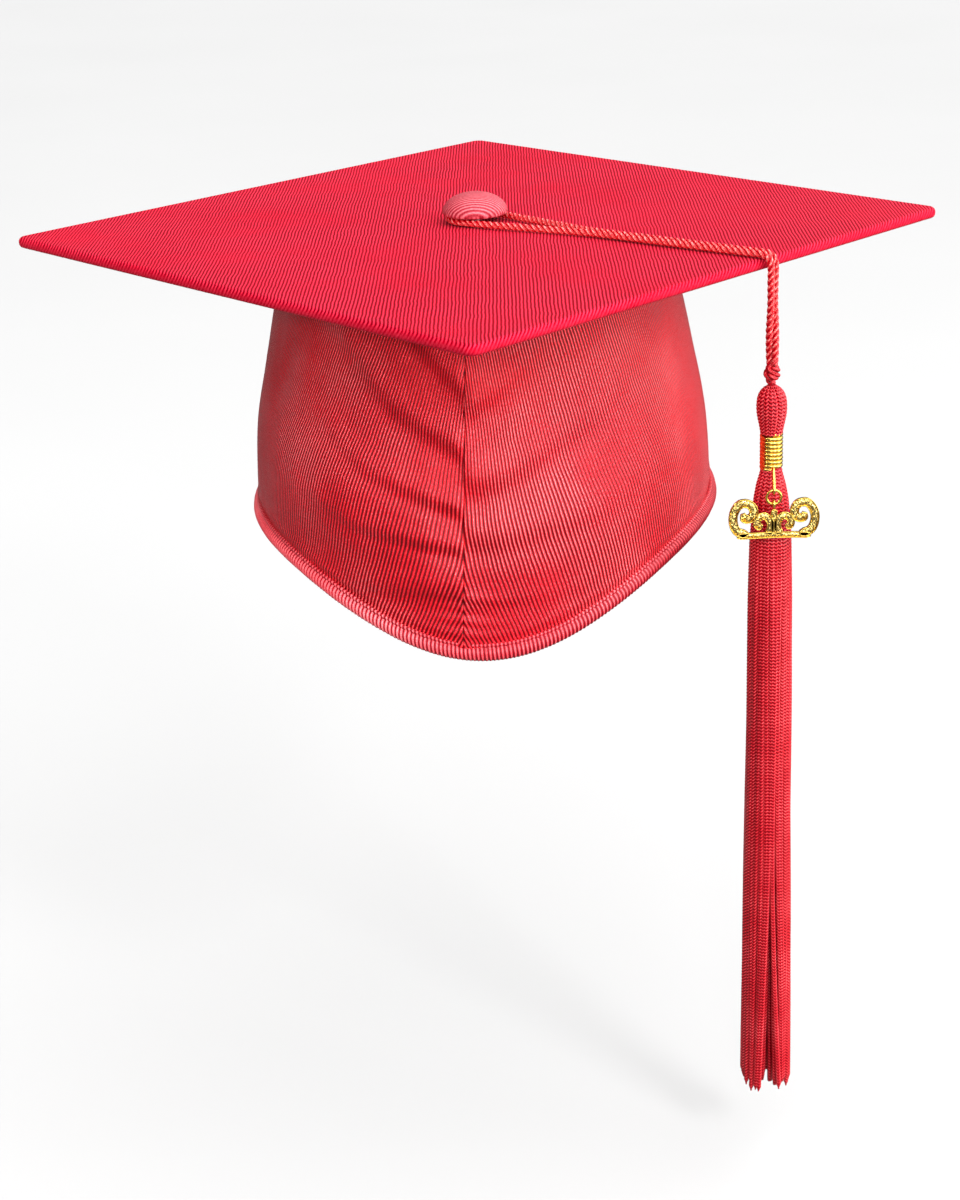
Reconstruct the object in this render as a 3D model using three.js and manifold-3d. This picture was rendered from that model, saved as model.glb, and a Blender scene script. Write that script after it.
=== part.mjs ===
// Graduation cap (mortarboard) with a corded tassel, in millimetres, +Z up.
// The origin is the middle of the head opening, level with the hem at the sides.
// -Y is the front: the board's front corner and the skull cap's front seam are there.
import * as THREE from 'three';
import { mergeVertices } from 'three/addons/utils/BufferGeometryUtils.js';
import Module from 'manifold-3d';

const wasm = await Module();
wasm.setup();

// Clearance that touching pieces keep.
const GAP = 0.3;

// Board: a stiff square covered in fabric, a corner to the front.
const BOARD_SIDE = 241.3;
const BOARD_HALF = BOARD_SIDE / 2;
const BOARD_THICK = 4;
const COVER_THICK = 0.7;
const EDGE_ROUND = 1.6;
const CORNER_RADIUS = 4;
const WRAP_WIDTH = 8;
const BOARD_TOP = 106;
const BOARD_UNDER = BOARD_TOP - BOARD_THICK;
const CORNER_STEPS = 4;

// Skull cap: an oval shell, deeper in front, that narrows towards the board.
const HEM_HALF_WIDTH = 85;
const HEM_HALF_DEPTH = 100;
const CROWN_PULL_X = 15;
const CROWN_PULL_Y = 12;
const PULL_POWER = 1.2;
const PEAK_DROP = 25.5;
const PEAK_POWER = 4.3;
const SIDE_SEAM = 105;
const PHI_STEP = 7.5;
const SEAM_HALF = 0.15;
const SKULL_TOP = BOARD_UNDER - GAP;

// Fabric layers of the skull cap, as depths inward from its outer surface.
const PANEL_IN = 0.9;
const STIFF_OUT = PANEL_IN + GAP;
const STIFF_IN = STIFF_OUT + 0.8;
const LINER_OUT = STIFF_IN + GAP;
const BAND_IN = LINER_OUT + 0.8;
const TAPE_IN = LINER_OUT + 0.6;
const EDGE_LIFT = 1.3;
const BAND_HEIGHT = 30;
const ELASTIC_LOW = 6;
const ELASTIC_HIGH = 18;
const TAPE_HALF = 3.75;

// Binding folded over the hem.
const BIND_OUT = 1.2;
const BIND_THICK = 0.9;
const BIND_HEIGHT = 4.2;

// Button in the middle of the board, fastened by a pin.
const BUTTON_RADIUS = 12;
const BUTTON_BASE = BOARD_TOP + 3.1;
const BUTTON_HEIGHT = 8;
const PIN_RADIUS = 2;
const PIN_HOLE = PIN_RADIUS + GAP;
const WASHER_RADIUS = 9;
const WASHER_THICK = 1.2;
const CROWN_HOLE = 14;
const CROWN_THICK = 0.8;

// Cord: one length doubled round the button, both ends in the tassel's knot.
const CORD_RADIUS = 1.25;
const CORD_SIDES = 8;
const CORD_ANGLE = -36.5;
const CORD_ABOVE = CORD_RADIUS + 0.35;
const STRAND = 1.4;
const DROP_REACH = 124.9;
const BEND_RADIUS = 3.4;
const PIVOT_DROP = BEND_RADIUS - CORD_ABOVE;
const BALL_STEP = 2 * CORD_RADIUS + GAP;
const SWAY_DROP = 34.95;

// Tassel: heights are depths below the board's top face.
const KNOT_RADIUS = 2.55;
const KNOT_TOP = SWAY_DROP + CORD_RADIUS + GAP;
const KNOT_LENGTH = 7.1;
const HEAD_TOP = KNOT_TOP + KNOT_LENGTH + GAP;
const HEAD_BOTTOM = 60.2;
const HEAD_RADIUS = 5.4;
const HEAD_WALL = 0.9;
const WIRE_TOP = HEAD_BOTTOM + GAP;
const WIRE_BOTTOM = 74.3;
const WIRE_OUTER = 4.05;
const WIRE_INNER = 2.9;
const SKIRT_TOP = WIRE_BOTTOM + GAP;
const SKIRT_BOTTOM = 322;
const SKIRT_RADIUS = 9.8;

// Charm: bail on the wire band, ring through the bail, ornament on the ring.
const WIRE = 0.4;
const LINK = 1.1;
const RING_RADIUS = 2.5;
const RING_DEPTH = 81.7;
const RING_OUT = 8.2;
const BAIL_TOP_OUT = 5.95;
const BAIL_TOP_DEPTH = 73.2;
const PLATE_THICK = 1.3;
const PLATE_OUT = 8.75;
const PLATE_BOTTOM = 96.5;

// ---- Materials ----

function fabric(color) {
  return new THREE.MeshStandardMaterial({ color, roughness: 0.6, metalness: 0 });
}

const boardSatin = fabric(0xe2344e);
const skullSatin = fabric(0xd83a50);
const bindingSatin = fabric(0xe03a52);
const buttonSatin = fabric(0xf29aa2);
const cordRayon = fabric(0xb8102c);
const tasselRayon = fabric(0xbe0f28);
const lining = fabric(0xa81c34);
const elasticWeb = fabric(0xefe9e2);
const millboard = new THREE.MeshStandardMaterial({ color: 0x8f8577, roughness: 0.9, metalness: 0 });
const plastic = new THREE.MeshStandardMaterial({ color: 0xe8e6e0, roughness: 0.5, metalness: 0 });
const steel = new THREE.MeshStandardMaterial({ color: 0xb9bcc0, roughness: 0.35, metalness: 1 });
const gilt = new THREE.MeshStandardMaterial({ color: 0xdcbe3c, roughness: 0.28, metalness: 1 });

// ---- Solids from loops of points ----

// Turns a closed surface right side out, by the sign of the volume that it encloses.
function faceOut(geometry) {
  const index = geometry.index.array;
  const position = geometry.attributes.position;
  const corner = (i) => new THREE.Vector3().fromBufferAttribute(position, index[i]);
  let volume = 0;
  for (let i = 0; i < index.length; i += 3) {
    volume += corner(i).dot(corner(i + 1).cross(corner(i + 2)));
  }
  if (volume < 0) {
    for (let i = 0; i < index.length; i += 3) {
      [index[i], index[i + 1]] = [index[i + 1], index[i]];
    }
  }
  return geometry;
}

// Joins loops of points into one closed surface. The loops follow each other round a ring, or
// each end is closed by a ladder of triangles between a loop's first and second half.
function loftLoops(loops, ring) {
  const count = loops[0].length;
  const faces = [];
  const last = ring ? loops.length : loops.length - 1;
  for (let i = 0; i < last; i += 1) {
    const here = i * count;
    const next = ((i + 1) % loops.length) * count;
    for (let j = 0; j < count; j += 1) {
      const k = (j + 1) % count;
      faces.push(here + j, next + j, next + k);
      faces.push(here + j, next + k, here + k);
    }
  }
  if (!ring) {
    const end = (loops.length - 1) * count;
    for (let j = 0; j < count / 2 - 1; j += 1) {
      const m = count - 1 - j;
      faces.push(j, j + 1, m - 1, j, m - 1, m);
      faces.push(end + j, end + m - 1, end + j + 1, end + j, end + m, end + m - 1);
    }
  }
  const coordinates = loops.flat().flatMap((point) => point.toArray());
  const geometry = new THREE.BufferGeometry();
  geometry.setAttribute('position', new THREE.Float32BufferAttribute(coordinates, 3));
  geometry.setIndex(faces);
  return faceOut(geometry);
}

function lathe(outline, segments) {
  const profile = outline.map(([radius, z]) => new THREE.Vector2(radius, z));
  const geometry = new THREE.LatheGeometry(profile, segments);
  geometry.rotateX(Math.PI / 2);
  return faceOut(geometry);
}

// ---- Booleans ----

function toSolid(geometry) {
  const bare = geometry.clone();
  bare.deleteAttribute('normal');
  bare.deleteAttribute('uv');
  const merged = mergeVertices(bare, 1e-4);
  const triVerts = new Uint32Array(merged.index.array);
  const vertProperties = new Float32Array(merged.attributes.position.array);
  return new wasm.Manifold(new wasm.Mesh({ numProp: 3, vertProperties, triVerts }));
}

function toGeometry(solid) {
  const mesh = solid.getMesh();
  const geometry = new THREE.BufferGeometry();
  geometry.setAttribute('position', new THREE.BufferAttribute(mesh.vertProperties, 3));
  geometry.setIndex(new THREE.BufferAttribute(mesh.triVerts, 1));
  return geometry;
}

function join(geometries) {
  const solids = geometries.map(toSolid);
  return toGeometry(solids.reduce((all, solid) => all.add(solid)));
}

// ---- Board ----

// A rounded square whose corners lie on the X and Y axes, as a ring of points.
function squareRing(half, corner, z) {
  const ring = [];
  for (let quarter = 0; quarter < 4; quarter += 1) {
    const out = (half - corner) * Math.SQRT2;
    const axis = (quarter * Math.PI) / 2;
    for (let step = 0; step <= CORNER_STEPS; step += 1) {
      const angle = axis + (step / CORNER_STEPS - 0.5) * (Math.PI / 2);
      const x = out * Math.cos(axis) + corner * Math.cos(angle);
      const y = out * Math.sin(axis) + corner * Math.sin(angle);
      ring.push(new THREE.Vector3(x, y, z));
    }
  }
  return ring;
}

function boardRing(inset, z) {
  return squareRing(BOARD_HALF - inset, Math.max(CORNER_RADIUS - inset, 0.6), z);
}

function holeRing(radius, z) {
  return squareRing(radius, radius, z);
}

// Top fabric: lies over the board, rolls round its edge and turns under it.
function boardTopCover() {
  const top = BOARD_TOP;
  const low = BOARD_UNDER;
  const inner = COVER_THICK;
  const round = EDGE_ROUND;
  const soft = round * (1 - Math.SQRT1_2);
  return loftLoops([
    holeRing(PIN_HOLE, top),
    holeRing(BUTTON_RADIUS + 4, top),
    boardRing(round, top),
    boardRing(soft, top - soft),
    boardRing(0, top - round),
    boardRing(0, low + round),
    boardRing(soft, low + soft),
    boardRing(round, low),
    boardRing(WRAP_WIDTH, low),
    boardRing(WRAP_WIDTH, low + inner),
    boardRing(round, low + inner),
    boardRing(inner, low + round),
    boardRing(inner, top - round),
    boardRing(round, top - inner),
    holeRing(PIN_HOLE, top - inner),
  ], true);
}

function plateWithHole(outline, z0, z1, hole) {
  return loftLoops([holeRing(hole, z1), outline(z1), outline(z0), holeRing(hole, z0)], true);
}

function boardCore() {
  const z0 = BOARD_UNDER + COVER_THICK + GAP;
  const z1 = BOARD_TOP - COVER_THICK - GAP;
  return plateWithHole((z) => boardRing(EDGE_ROUND, z), z0, z1, PIN_HOLE);
}

function boardBottomCover() {
  const z1 = BOARD_UNDER + COVER_THICK;
  return plateWithHole((z) => boardRing(WRAP_WIDTH + GAP, z), BOARD_UNDER, z1, PIN_HOLE);
}

// ---- Skull cap ----

function radians(degrees) {
  return (degrees * Math.PI) / 180;
}

// Height of the hem at an angle from the front: it dips to a point in front.
function hemHeight(phi) {
  const facing = Math.max(Math.cos(radians(phi)), 0);
  return -PEAK_DROP * facing ** PEAK_POWER;
}

// A point on the skull cap, a height above its hem and a depth inward from its outer surface.
function skullPoint(phi, above, depth) {
  const hem = hemHeight(phi);
  const up = above / (SKULL_TOP - hem);
  const halfWidth = HEM_HALF_WIDTH - CROWN_PULL_X * up ** PULL_POWER;
  const halfDepth = HEM_HALF_DEPTH - CROWN_PULL_Y * up ** PULL_POWER;
  const side = Math.sin(radians(phi));
  const front = Math.cos(radians(phi));
  const normal = new THREE.Vector2(side / halfWidth, front / halfDepth).normalize();
  const x = halfWidth * side - depth * normal.x;
  const y = -(halfDepth * front - depth * normal.y);
  return new THREE.Vector3(x, y, hem + above);
}

function skullHeight(phi) {
  return SKULL_TOP - hemHeight(phi);
}

function anglesBetween(from, to) {
  const angles = [from];
  for (let phi = Math.ceil((from + 1) / PHI_STEP) * PHI_STEP; phi < to - 1; phi += PHI_STEP) {
    angles.push(phi);
  }
  angles.push(to);
  return angles;
}

// A layer of the skull cap between two angles, from low(phi) to high(phi) above the hem.
function skullLayer({ from, to, low, high, outer, inner, rows = 6, ring = false }) {
  const angles = anglesBetween(from, to);
  if (ring) {
    angles.pop();
  }
  const loops = angles.map((phi) => {
    const heights = [];
    for (let row = 0; row <= rows; row += 1) {
      heights.push(high(phi) + ((low(phi) - high(phi)) * row) / rows);
    }
    const outside = heights.map((above) => skullPoint(phi, above, outer));
    const inside = heights.map((above) => skullPoint(phi, above, inner)).reverse();
    return [...outside, ...inside];
  });
  return loftLoops(loops, ring);
}

function skullPanel(from, to) {
  return skullLayer({ from, to, low: () => EDGE_LIFT, high: skullHeight, outer: 0, inner: PANEL_IN });
}

function frontStiffener(from, to) {
  const high = (phi) => skullHeight(phi) - 2;
  return skullLayer({ from, to, low: () => EDGE_LIFT, high, outer: STIFF_OUT, inner: STIFF_IN });
}

function sweatband() {
  const low = () => EDGE_LIFT;
  const high = () => BAND_HEIGHT;
  return skullLayer({ from: 0, to: 360, low, high, outer: LINER_OUT, inner: BAND_IN, rows: 2, ring: true });
}

function seamTape() {
  const low = () => BAND_HEIGHT + GAP;
  const high = (phi) => skullHeight(phi) - 3;
  const ends = { from: -TAPE_HALF, to: TAPE_HALF };
  return skullLayer({ ...ends, low, high, outer: LINER_OUT, inner: TAPE_IN });
}

function backElastic() {
  const from = SIDE_SEAM + 1;
  const ends = { from, to: 360 - from };
  const low = () => ELASTIC_LOW;
  const high = () => ELASTIC_HIGH;
  return skullLayer({ ...ends, low, high, outer: STIFF_OUT, inner: STIFF_IN, rows: 1 });
}

// Bias binding: a U folded over the raw edges, all the way round the hem.
function hemBinding() {
  const leg = BAND_IN + GAP;
  const section = [
    [BIND_HEIGHT - 0.6, -BIND_OUT],
    [0.6, -BIND_OUT],
    [0, GAP - BIND_OUT],
    [0, leg],
    [0.6, leg + BIND_THICK],
    [BIND_HEIGHT, leg + BIND_THICK],
    [BIND_HEIGHT, leg],
    [EDGE_LIFT - GAP, leg],
    [EDGE_LIFT - GAP, -GAP],
    [BIND_HEIGHT, -GAP],
  ];
  const angles = anglesBetween(0, 360).slice(0, -1);
  return loftLoops(angles.map((phi) => section.map(([above, depth]) => skullPoint(phi, above, depth))), true);
}

// Crown: the oval of fabric glued under the board, with an opening for the pin's washer.
function crownPanel() {
  const oval = (z, hole) => {
    const ring = [];
    for (let i = 0; i < 360 / PHI_STEP; i += 1) {
      const rim = skullPoint(i * PHI_STEP, skullHeight(i * PHI_STEP), LINER_OUT);
      const rimRadius = Math.hypot(rim.x, rim.y);
      const scale = hole ? CROWN_HOLE / rimRadius : 1;
      ring.push(new THREE.Vector3(rim.x * scale, rim.y * scale, z));
    }
    return ring;
  };
  const z1 = SKULL_TOP;
  const z0 = z1 - CROWN_THICK;
  return loftLoops([oval(z1, true), oval(z1, false), oval(z0, false), oval(z0, true)], true);
}

// ---- Button ----

// Half an outline of a dome: points from the axis down to the rim.
function domeOutline(radius, base, height, steps = 6) {
  const outline = [];
  for (let i = 0; i <= steps; i += 1) {
    const angle = (i / steps) * (Math.PI / 2);
    outline.push([radius * Math.sin(angle), base + height * Math.cos(angle)]);
  }
  return outline;
}

// Fabric drawn over the button and turned under its rim.
function buttonCover() {
  const base = BUTTON_BASE + COVER_THICK;
  const thick = COVER_THICK;
  return lathe([
    ...domeOutline(BUTTON_RADIUS, base, BUTTON_HEIGHT - thick),
    [BUTTON_RADIUS - 1, BUTTON_BASE],
    [BUTTON_RADIUS - 3, BUTTON_BASE],
    [BUTTON_RADIUS - 3, base],
    ...domeOutline(BUTTON_RADIUS - thick, base, BUTTON_HEIGHT - 2 * thick).reverse(),
  ], 32);
}

function buttonShell() {
  const base = BUTTON_BASE + COVER_THICK + GAP;
  const radius = BUTTON_RADIUS - COVER_THICK - 2 * GAP;
  const height = BUTTON_HEIGHT - 2 * COVER_THICK - 3 * GAP;
  const wall = 0.9;
  return lathe([
    ...domeOutline(radius, base, height),
    ...domeOutline(radius - wall, base, height - wall).reverse(),
  ], 32);
}

function buttonBack() {
  const radius = BUTTON_RADIUS - 3 - GAP;
  return lathe([
    [PIN_HOLE, BUTTON_BASE],
    [radius, BUTTON_BASE],
    [radius, BUTTON_BASE + 1],
    [PIN_HOLE, BUTTON_BASE + 1],
    [PIN_HOLE, BUTTON_BASE],
  ], 24);
}

function buttonPin() {
  const flange = BUTTON_BASE + 1 + GAP;
  const tip = BOARD_UNDER - GAP - WASHER_THICK - 0.8;
  return lathe([
    [0, tip],
    [PIN_RADIUS - 0.4, tip],
    [PIN_RADIUS, tip + 0.4],
    [PIN_RADIUS, flange],
    [2.6 * PIN_RADIUS, flange],
    [2.6 * PIN_RADIUS, flange + 0.8],
    [0, flange + 0.8],
  ], 16);
}

function pinWasher() {
  const top = BOARD_UNDER - GAP;
  return lathe([
    [PIN_HOLE, top - WASHER_THICK],
    [WASHER_RADIUS, top - WASHER_THICK],
    [WASHER_RADIUS, top],
    [PIN_HOLE, top],
    [PIN_HOLE, top - WASHER_THICK],
  ], 24);
}

// ---- Cord ----

// Places a point given outward along the cord, across it to the back, and down from the board top.
function alongCord(out, across, down) {
  const angle = radians(CORD_ANGLE);
  const x = out * Math.cos(angle) - across * Math.sin(angle);
  const y = out * Math.sin(angle) + across * Math.cos(angle);
  return new THREE.Vector3(x, y, BOARD_TOP - down);
}

// Half the run: from the hanging end, over the board's edge, to the back of the button.
const HALF_RUN = [
  [DROP_REACH, STRAND, PIVOT_DROP],
  [DROP_REACH - 0.45, STRAND, PIVOT_DROP - 1.7],
  [DROP_REACH - 1.65, STRAND, 0.55 - CORD_ABOVE],
  [DROP_REACH - BEND_RADIUS, STRAND, -CORD_ABOVE],
  [DROP_REACH - 7, STRAND, -CORD_ABOVE],
  [100, STRAND, -CORD_ABOVE],
  [76, STRAND, -CORD_ABOVE],
  [56, 1.45, -CORD_ABOVE],
  [44, 2.7, -CORD_ABOVE],
  [30, 5, -CORD_ABOVE],
  [16, 7.4, -CORD_ABOVE],
  [5, 9.1, -CORD_ABOVE],
  [-3, 9.1, -CORD_ABOVE],
  [-8.1, 5.1, -CORD_ABOVE],
];
const RUN_BACK = [-9.6, 0, -CORD_ABOVE];

// One hanging strand, from under the bend to the knot: a quarter turn round its twin.
const HALF_DROP = [
  [0, 1, PIVOT_DROP + BALL_STEP],
  [0, 1, 9],
  [0, 1, 15],
  [0.26, 0.97, 20],
  [0.71, 0.71, 26],
  [0.97, 0.26, 31],
  [1, 0, SWAY_DROP],
];

function runRoute() {
  const near = HALF_RUN.map(([out, across, down]) => alongCord(out, -across, down));
  const far = HALF_RUN.map(([out, across, down]) => alongCord(out, across, down)).reverse();
  return [...near, alongCord(...RUN_BACK), ...far];
}

function dropRoute(side) {
  return HALF_DROP.map(([out, across, down]) => (
    alongCord(DROP_REACH + side * out * STRAND, side * across * STRAND, down)
  ));
}

// A cord along a route, with a round end at each end so that it can turn on its neighbour.
function cordTube(route, steps) {
  const section = new THREE.Shape();
  for (let i = 0; i < CORD_SIDES; i += 1) {
    const angle = (i / CORD_SIDES) * 2 * Math.PI;
    section.lineTo(CORD_RADIUS * Math.cos(angle), CORD_RADIUS * Math.sin(angle));
  }
  section.curves.shift();
  const extrudePath = new THREE.CatmullRomCurve3(route, false, 'centripetal');
  const tube = new THREE.ExtrudeGeometry(section, { steps, extrudePath });
  const ends = [route[0], route[route.length - 1]].map((end) => {
    const ball = new THREE.SphereGeometry(CORD_RADIUS, CORD_SIDES, 6);
    return ball.translate(...end.toArray());
  });
  return join([tube, ...ends]);
}

// ---- Tassel ----

// Round pieces of the tassel, from radii and depths below the board top, about its own axis.
function tasselLathe(outline, segments) {
  return lathe(outline.map(([radius, depth]) => [radius, BOARD_TOP - depth]), segments);
}

function knot() {
  const top = KNOT_TOP;
  const outline = [[0, top]];
  for (const angle of [30, 60, 90]) {
    const rise = KNOT_RADIUS * Math.cos(radians(angle));
    outline.push([KNOT_RADIUS * Math.sin(radians(angle)), top + KNOT_RADIUS - rise]);
  }
  outline.push([2.2, top + 3.6], [2.5, top + 5], [1.9, top + 6.5], [1.2, top + KNOT_LENGTH], [0, top + KNOT_LENGTH]);
  return tasselLathe(outline.reverse(), 16);
}

// Knitted sleeve over the folded tops of the strands, open below.
const HEAD_OUTLINE = [[1.6, 0], [3.3, 1.2], [4.7, 3.6], [HEAD_RADIUS, 7.2], [5.3, 10.6], [4.6, 14]];

function tasselHead() {
  const outside = HEAD_OUTLINE.map(([radius, depth]) => [radius, HEAD_TOP + depth]);
  const inside = HEAD_OUTLINE.map(([radius, depth]) => [
    Math.max(radius - HEAD_WALL, 0.8),
    Math.max(HEAD_TOP + depth, HEAD_TOP + HEAD_WALL),
  ]);
  const rim = [[4.2, HEAD_BOTTOM], [4.2 - HEAD_WALL, HEAD_BOTTOM]];
  return tasselLathe([
    [0, HEAD_TOP + HEAD_WALL],
    ...inside,
    rim[1],
    rim[0],
    ...outside.reverse(),
    [0, HEAD_TOP],
  ], 24);
}

// Wire wound round the tassel's neck.
function wireBand() {
  return tasselLathe([
    [WIRE_INNER, WIRE_BOTTOM],
    [WIRE_OUTER, WIRE_BOTTOM],
    [WIRE_OUTER, WIRE_TOP],
    [WIRE_INNER, WIRE_TOP],
    [WIRE_INNER, WIRE_BOTTOM],
  ], 24);
}

// The strands as one bundle: folded inside the head, narrow at the neck, then hanging free.
function tasselSkirt() {
  const neck = WIRE_INNER - GAP;
  return tasselLathe([
    [0, SKIRT_BOTTOM],
    [SKIRT_RADIUS - 0.6, SKIRT_BOTTOM],
    [SKIRT_RADIUS, SKIRT_BOTTOM - 8],
    [9.3, 250],
    [8.6, 180],
    [8.0, 120],
    [7.6, 98],
    [6.3, 84],
    [5.2, 78],
    [4.0, SKIRT_TOP],
    [neck, SKIRT_TOP],
    [neck, WIRE_TOP],
    [2.9, HEAD_BOTTOM - 1],
    [3.9, HEAD_TOP + 9],
    [3.3, HEAD_TOP + 4.4],
    [1.6, HEAD_TOP + 2],
    [0, HEAD_TOP + 1.6],
  ], 20);
}

// ---- Charm ----

// Every charm piece is drawn about the tassel's axis, in front of it, and facing -Y.
function charmPoint(x, out, depth) {
  return new THREE.Vector3(x, -out, BOARD_TOP - depth);
}

// A closed loop of round wire through points that lie in one plane.
function wireLoop(points, radius, across, sides = 6) {
  return loftLoops(points.map((point, i) => {
    const before = points[(i + points.length - 1) % points.length];
    const after = points[(i + 1) % points.length];
    const along = after.clone().sub(before).normalize();
    const side = along.clone().cross(across).normalize();
    return Array.from({ length: sides }, (_, k) => {
      const angle = (k / sides) * 2 * Math.PI;
      return point.clone()
        .addScaledVector(across, radius * Math.cos(angle))
        .addScaledVector(side, radius * Math.sin(angle));
    });
  }), true);
}

// Long loop of wire, leaning out from the neck, that the ring hangs in.
function bail() {
  const top = new THREE.Vector2(BAIL_TOP_OUT, BAIL_TOP_DEPTH);
  const bottom = new THREE.Vector2(RING_OUT, RING_DEPTH - RING_RADIUS);
  const lean = bottom.clone().sub(top).normalize();
  const points = [];
  for (const [centre, from] of [[bottom, -90], [top, 90]]) {
    for (let step = 0; step <= 6; step += 1) {
      const angle = radians(from + step * 30);
      const down = LINK * Math.cos(angle);
      const side = LINK * Math.sin(angle);
      const out = centre.x + lean.x * down + lean.y * side;
      points.push(charmPoint(0, out, centre.y + lean.y * down - lean.x * side));
    }
  }
  return wireLoop(points, WIRE, new THREE.Vector3(1, 0, 0));
}

function charmRing() {
  const ring = new THREE.TorusGeometry(RING_RADIUS, WIRE, 6, 24);
  ring.rotateX(Math.PI / 2);
  const centre = charmPoint(0, RING_OUT, RING_DEPTH);
  return ring.translate(...centre.toArray());
}

// Discs and rings that the scrollwork is made of: middle, depth, outer and inner radius.
const SCROLLS = [
  [-10.15, 87, 4.6, 2.1],
  [10.15, 87, 4.6, 2.1],
  [-3.6, 90.6, 4.0, 1.7],
  [3.6, 90.6, 4.0, 1.7],
];
const BAR_WIDTH = 26;
const BAR_HEIGHT = 2.6;

function plateFrom(shape) {
  const plate = new THREE.ExtrudeGeometry(shape, { depth: PLATE_THICK, bevelEnabled: false, curveSegments: 10 });
  plate.rotateX(Math.PI / 2);
  return plate.translate(0, -PLATE_OUT + PLATE_THICK / 2, BOARD_TOP);
}

function scrollRing([x, depth, outer, inner]) {
  const shape = new THREE.Shape();
  shape.absarc(x, -depth, outer, 0, 2 * Math.PI, false);
  const hole = new THREE.Path();
  hole.absarc(x, -depth, inner, 0, 2 * Math.PI, true);
  shape.holes.push(hole);
  return plateFrom(shape);
}

function scrollBar() {
  const shape = new THREE.Shape();
  const half = BAR_WIDTH / 2;
  shape.moveTo(-half, -PLATE_BOTTOM + BAR_HEIGHT);
  shape.lineTo(-half + 1.5, -PLATE_BOTTOM);
  shape.lineTo(half - 1.5, -PLATE_BOTTOM);
  shape.lineTo(half, -PLATE_BOTTOM + BAR_HEIGHT);
  return plateFrom(shape);
}

// Eye at the top of the ornament, round the ring's wire.
function charmEye() {
  const eye = new THREE.TorusGeometry(LINK, WIRE, 6, 14);
  eye.rotateY(Math.PI / 2);
  const centre = charmPoint(0, RING_OUT, RING_DEPTH + RING_RADIUS);
  return eye.translate(...centre.toArray());
}

function eyeStem() {
  const depth = RING_DEPTH + RING_RADIUS + LINK + 1.5;
  const stem = new THREE.BoxGeometry(1.8, PLATE_THICK, 3);
  const centre = charmPoint(0, PLATE_OUT, depth);
  return stem.translate(...centre.toArray());
}

function charmOrnament() {
  return join([...SCROLLS.map(scrollRing), scrollBar(), eyeStem(), charmEye()]);
}

// ---- Assembly ----

const cap = new THREE.Group();
const tassel = new THREE.Group();
tassel.position.copy(alongCord(DROP_REACH, 0, BOARD_TOP));
cap.add(tassel);

function add(parent, name, geometry, material) {
  const mesh = new THREE.Mesh(geometry, material);
  mesh.name = name;
  parent.add(mesh);
}

add(cap, 'board_core', boardCore(), millboard);
add(cap, 'board_top_cover', boardTopCover(), boardSatin);
add(cap, 'board_bottom_cover', boardBottomCover(), boardSatin);

add(cap, 'front_left_panel', skullPanel(-SIDE_SEAM + SEAM_HALF, -SEAM_HALF), skullSatin);
add(cap, 'front_right_panel', skullPanel(SEAM_HALF, SIDE_SEAM - SEAM_HALF), skullSatin);
add(cap, 'back_panel', skullPanel(SIDE_SEAM + SEAM_HALF, 360 - SIDE_SEAM - SEAM_HALF), skullSatin);
add(cap, 'left_stiffener', frontStiffener(-SIDE_SEAM + 2, -SEAM_HALF), lining);
add(cap, 'right_stiffener', frontStiffener(SEAM_HALF, SIDE_SEAM - 2), lining);
add(cap, 'front_seam_tape', seamTape(), lining);
add(cap, 'sweatband', sweatband(), lining);
add(cap, 'back_elastic', backElastic(), elasticWeb);
add(cap, 'hem_binding', hemBinding(), bindingSatin);
add(cap, 'crown_panel', crownPanel(), lining);

add(cap, 'button_cover', buttonCover(), buttonSatin);
add(cap, 'button_shell', buttonShell(), plastic);
add(cap, 'button_back', buttonBack(), plastic);
add(cap, 'button_pin', buttonPin(), steel);
add(cap, 'pin_washer', pinWasher(), steel);

add(cap, 'cord_run', cordTube(runRoute(), 80), cordRayon);
add(cap, 'cord_drop_near', cordTube(dropRoute(-1), 8), cordRayon);
add(cap, 'cord_drop_far', cordTube(dropRoute(1), 8), cordRayon);

add(tassel, 'tassel_knot', knot(), cordRayon);
add(tassel, 'tassel_head', tasselHead(), tasselRayon);
add(tassel, 'wire_band', wireBand(), gilt);
add(tassel, 'tassel_skirt', tasselSkirt(), tasselRayon);
add(tassel, 'charm_bail', bail(), gilt);
add(tassel, 'charm_ring', charmRing(), gilt);
add(tassel, 'charm_ornament', charmOrnament(), gilt);

export default cap;
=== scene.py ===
"""Looks of a graduation cap: ribbed satin board and skull cap, covered button, looped cord and tassel.

Lengths are in millimetres in the making of each shape and become metres in make(). +Z is up, -Y the front.
"""

import math

import bmesh
import bpy
import numpy as np
from mathutils import Matrix, Vector


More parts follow.
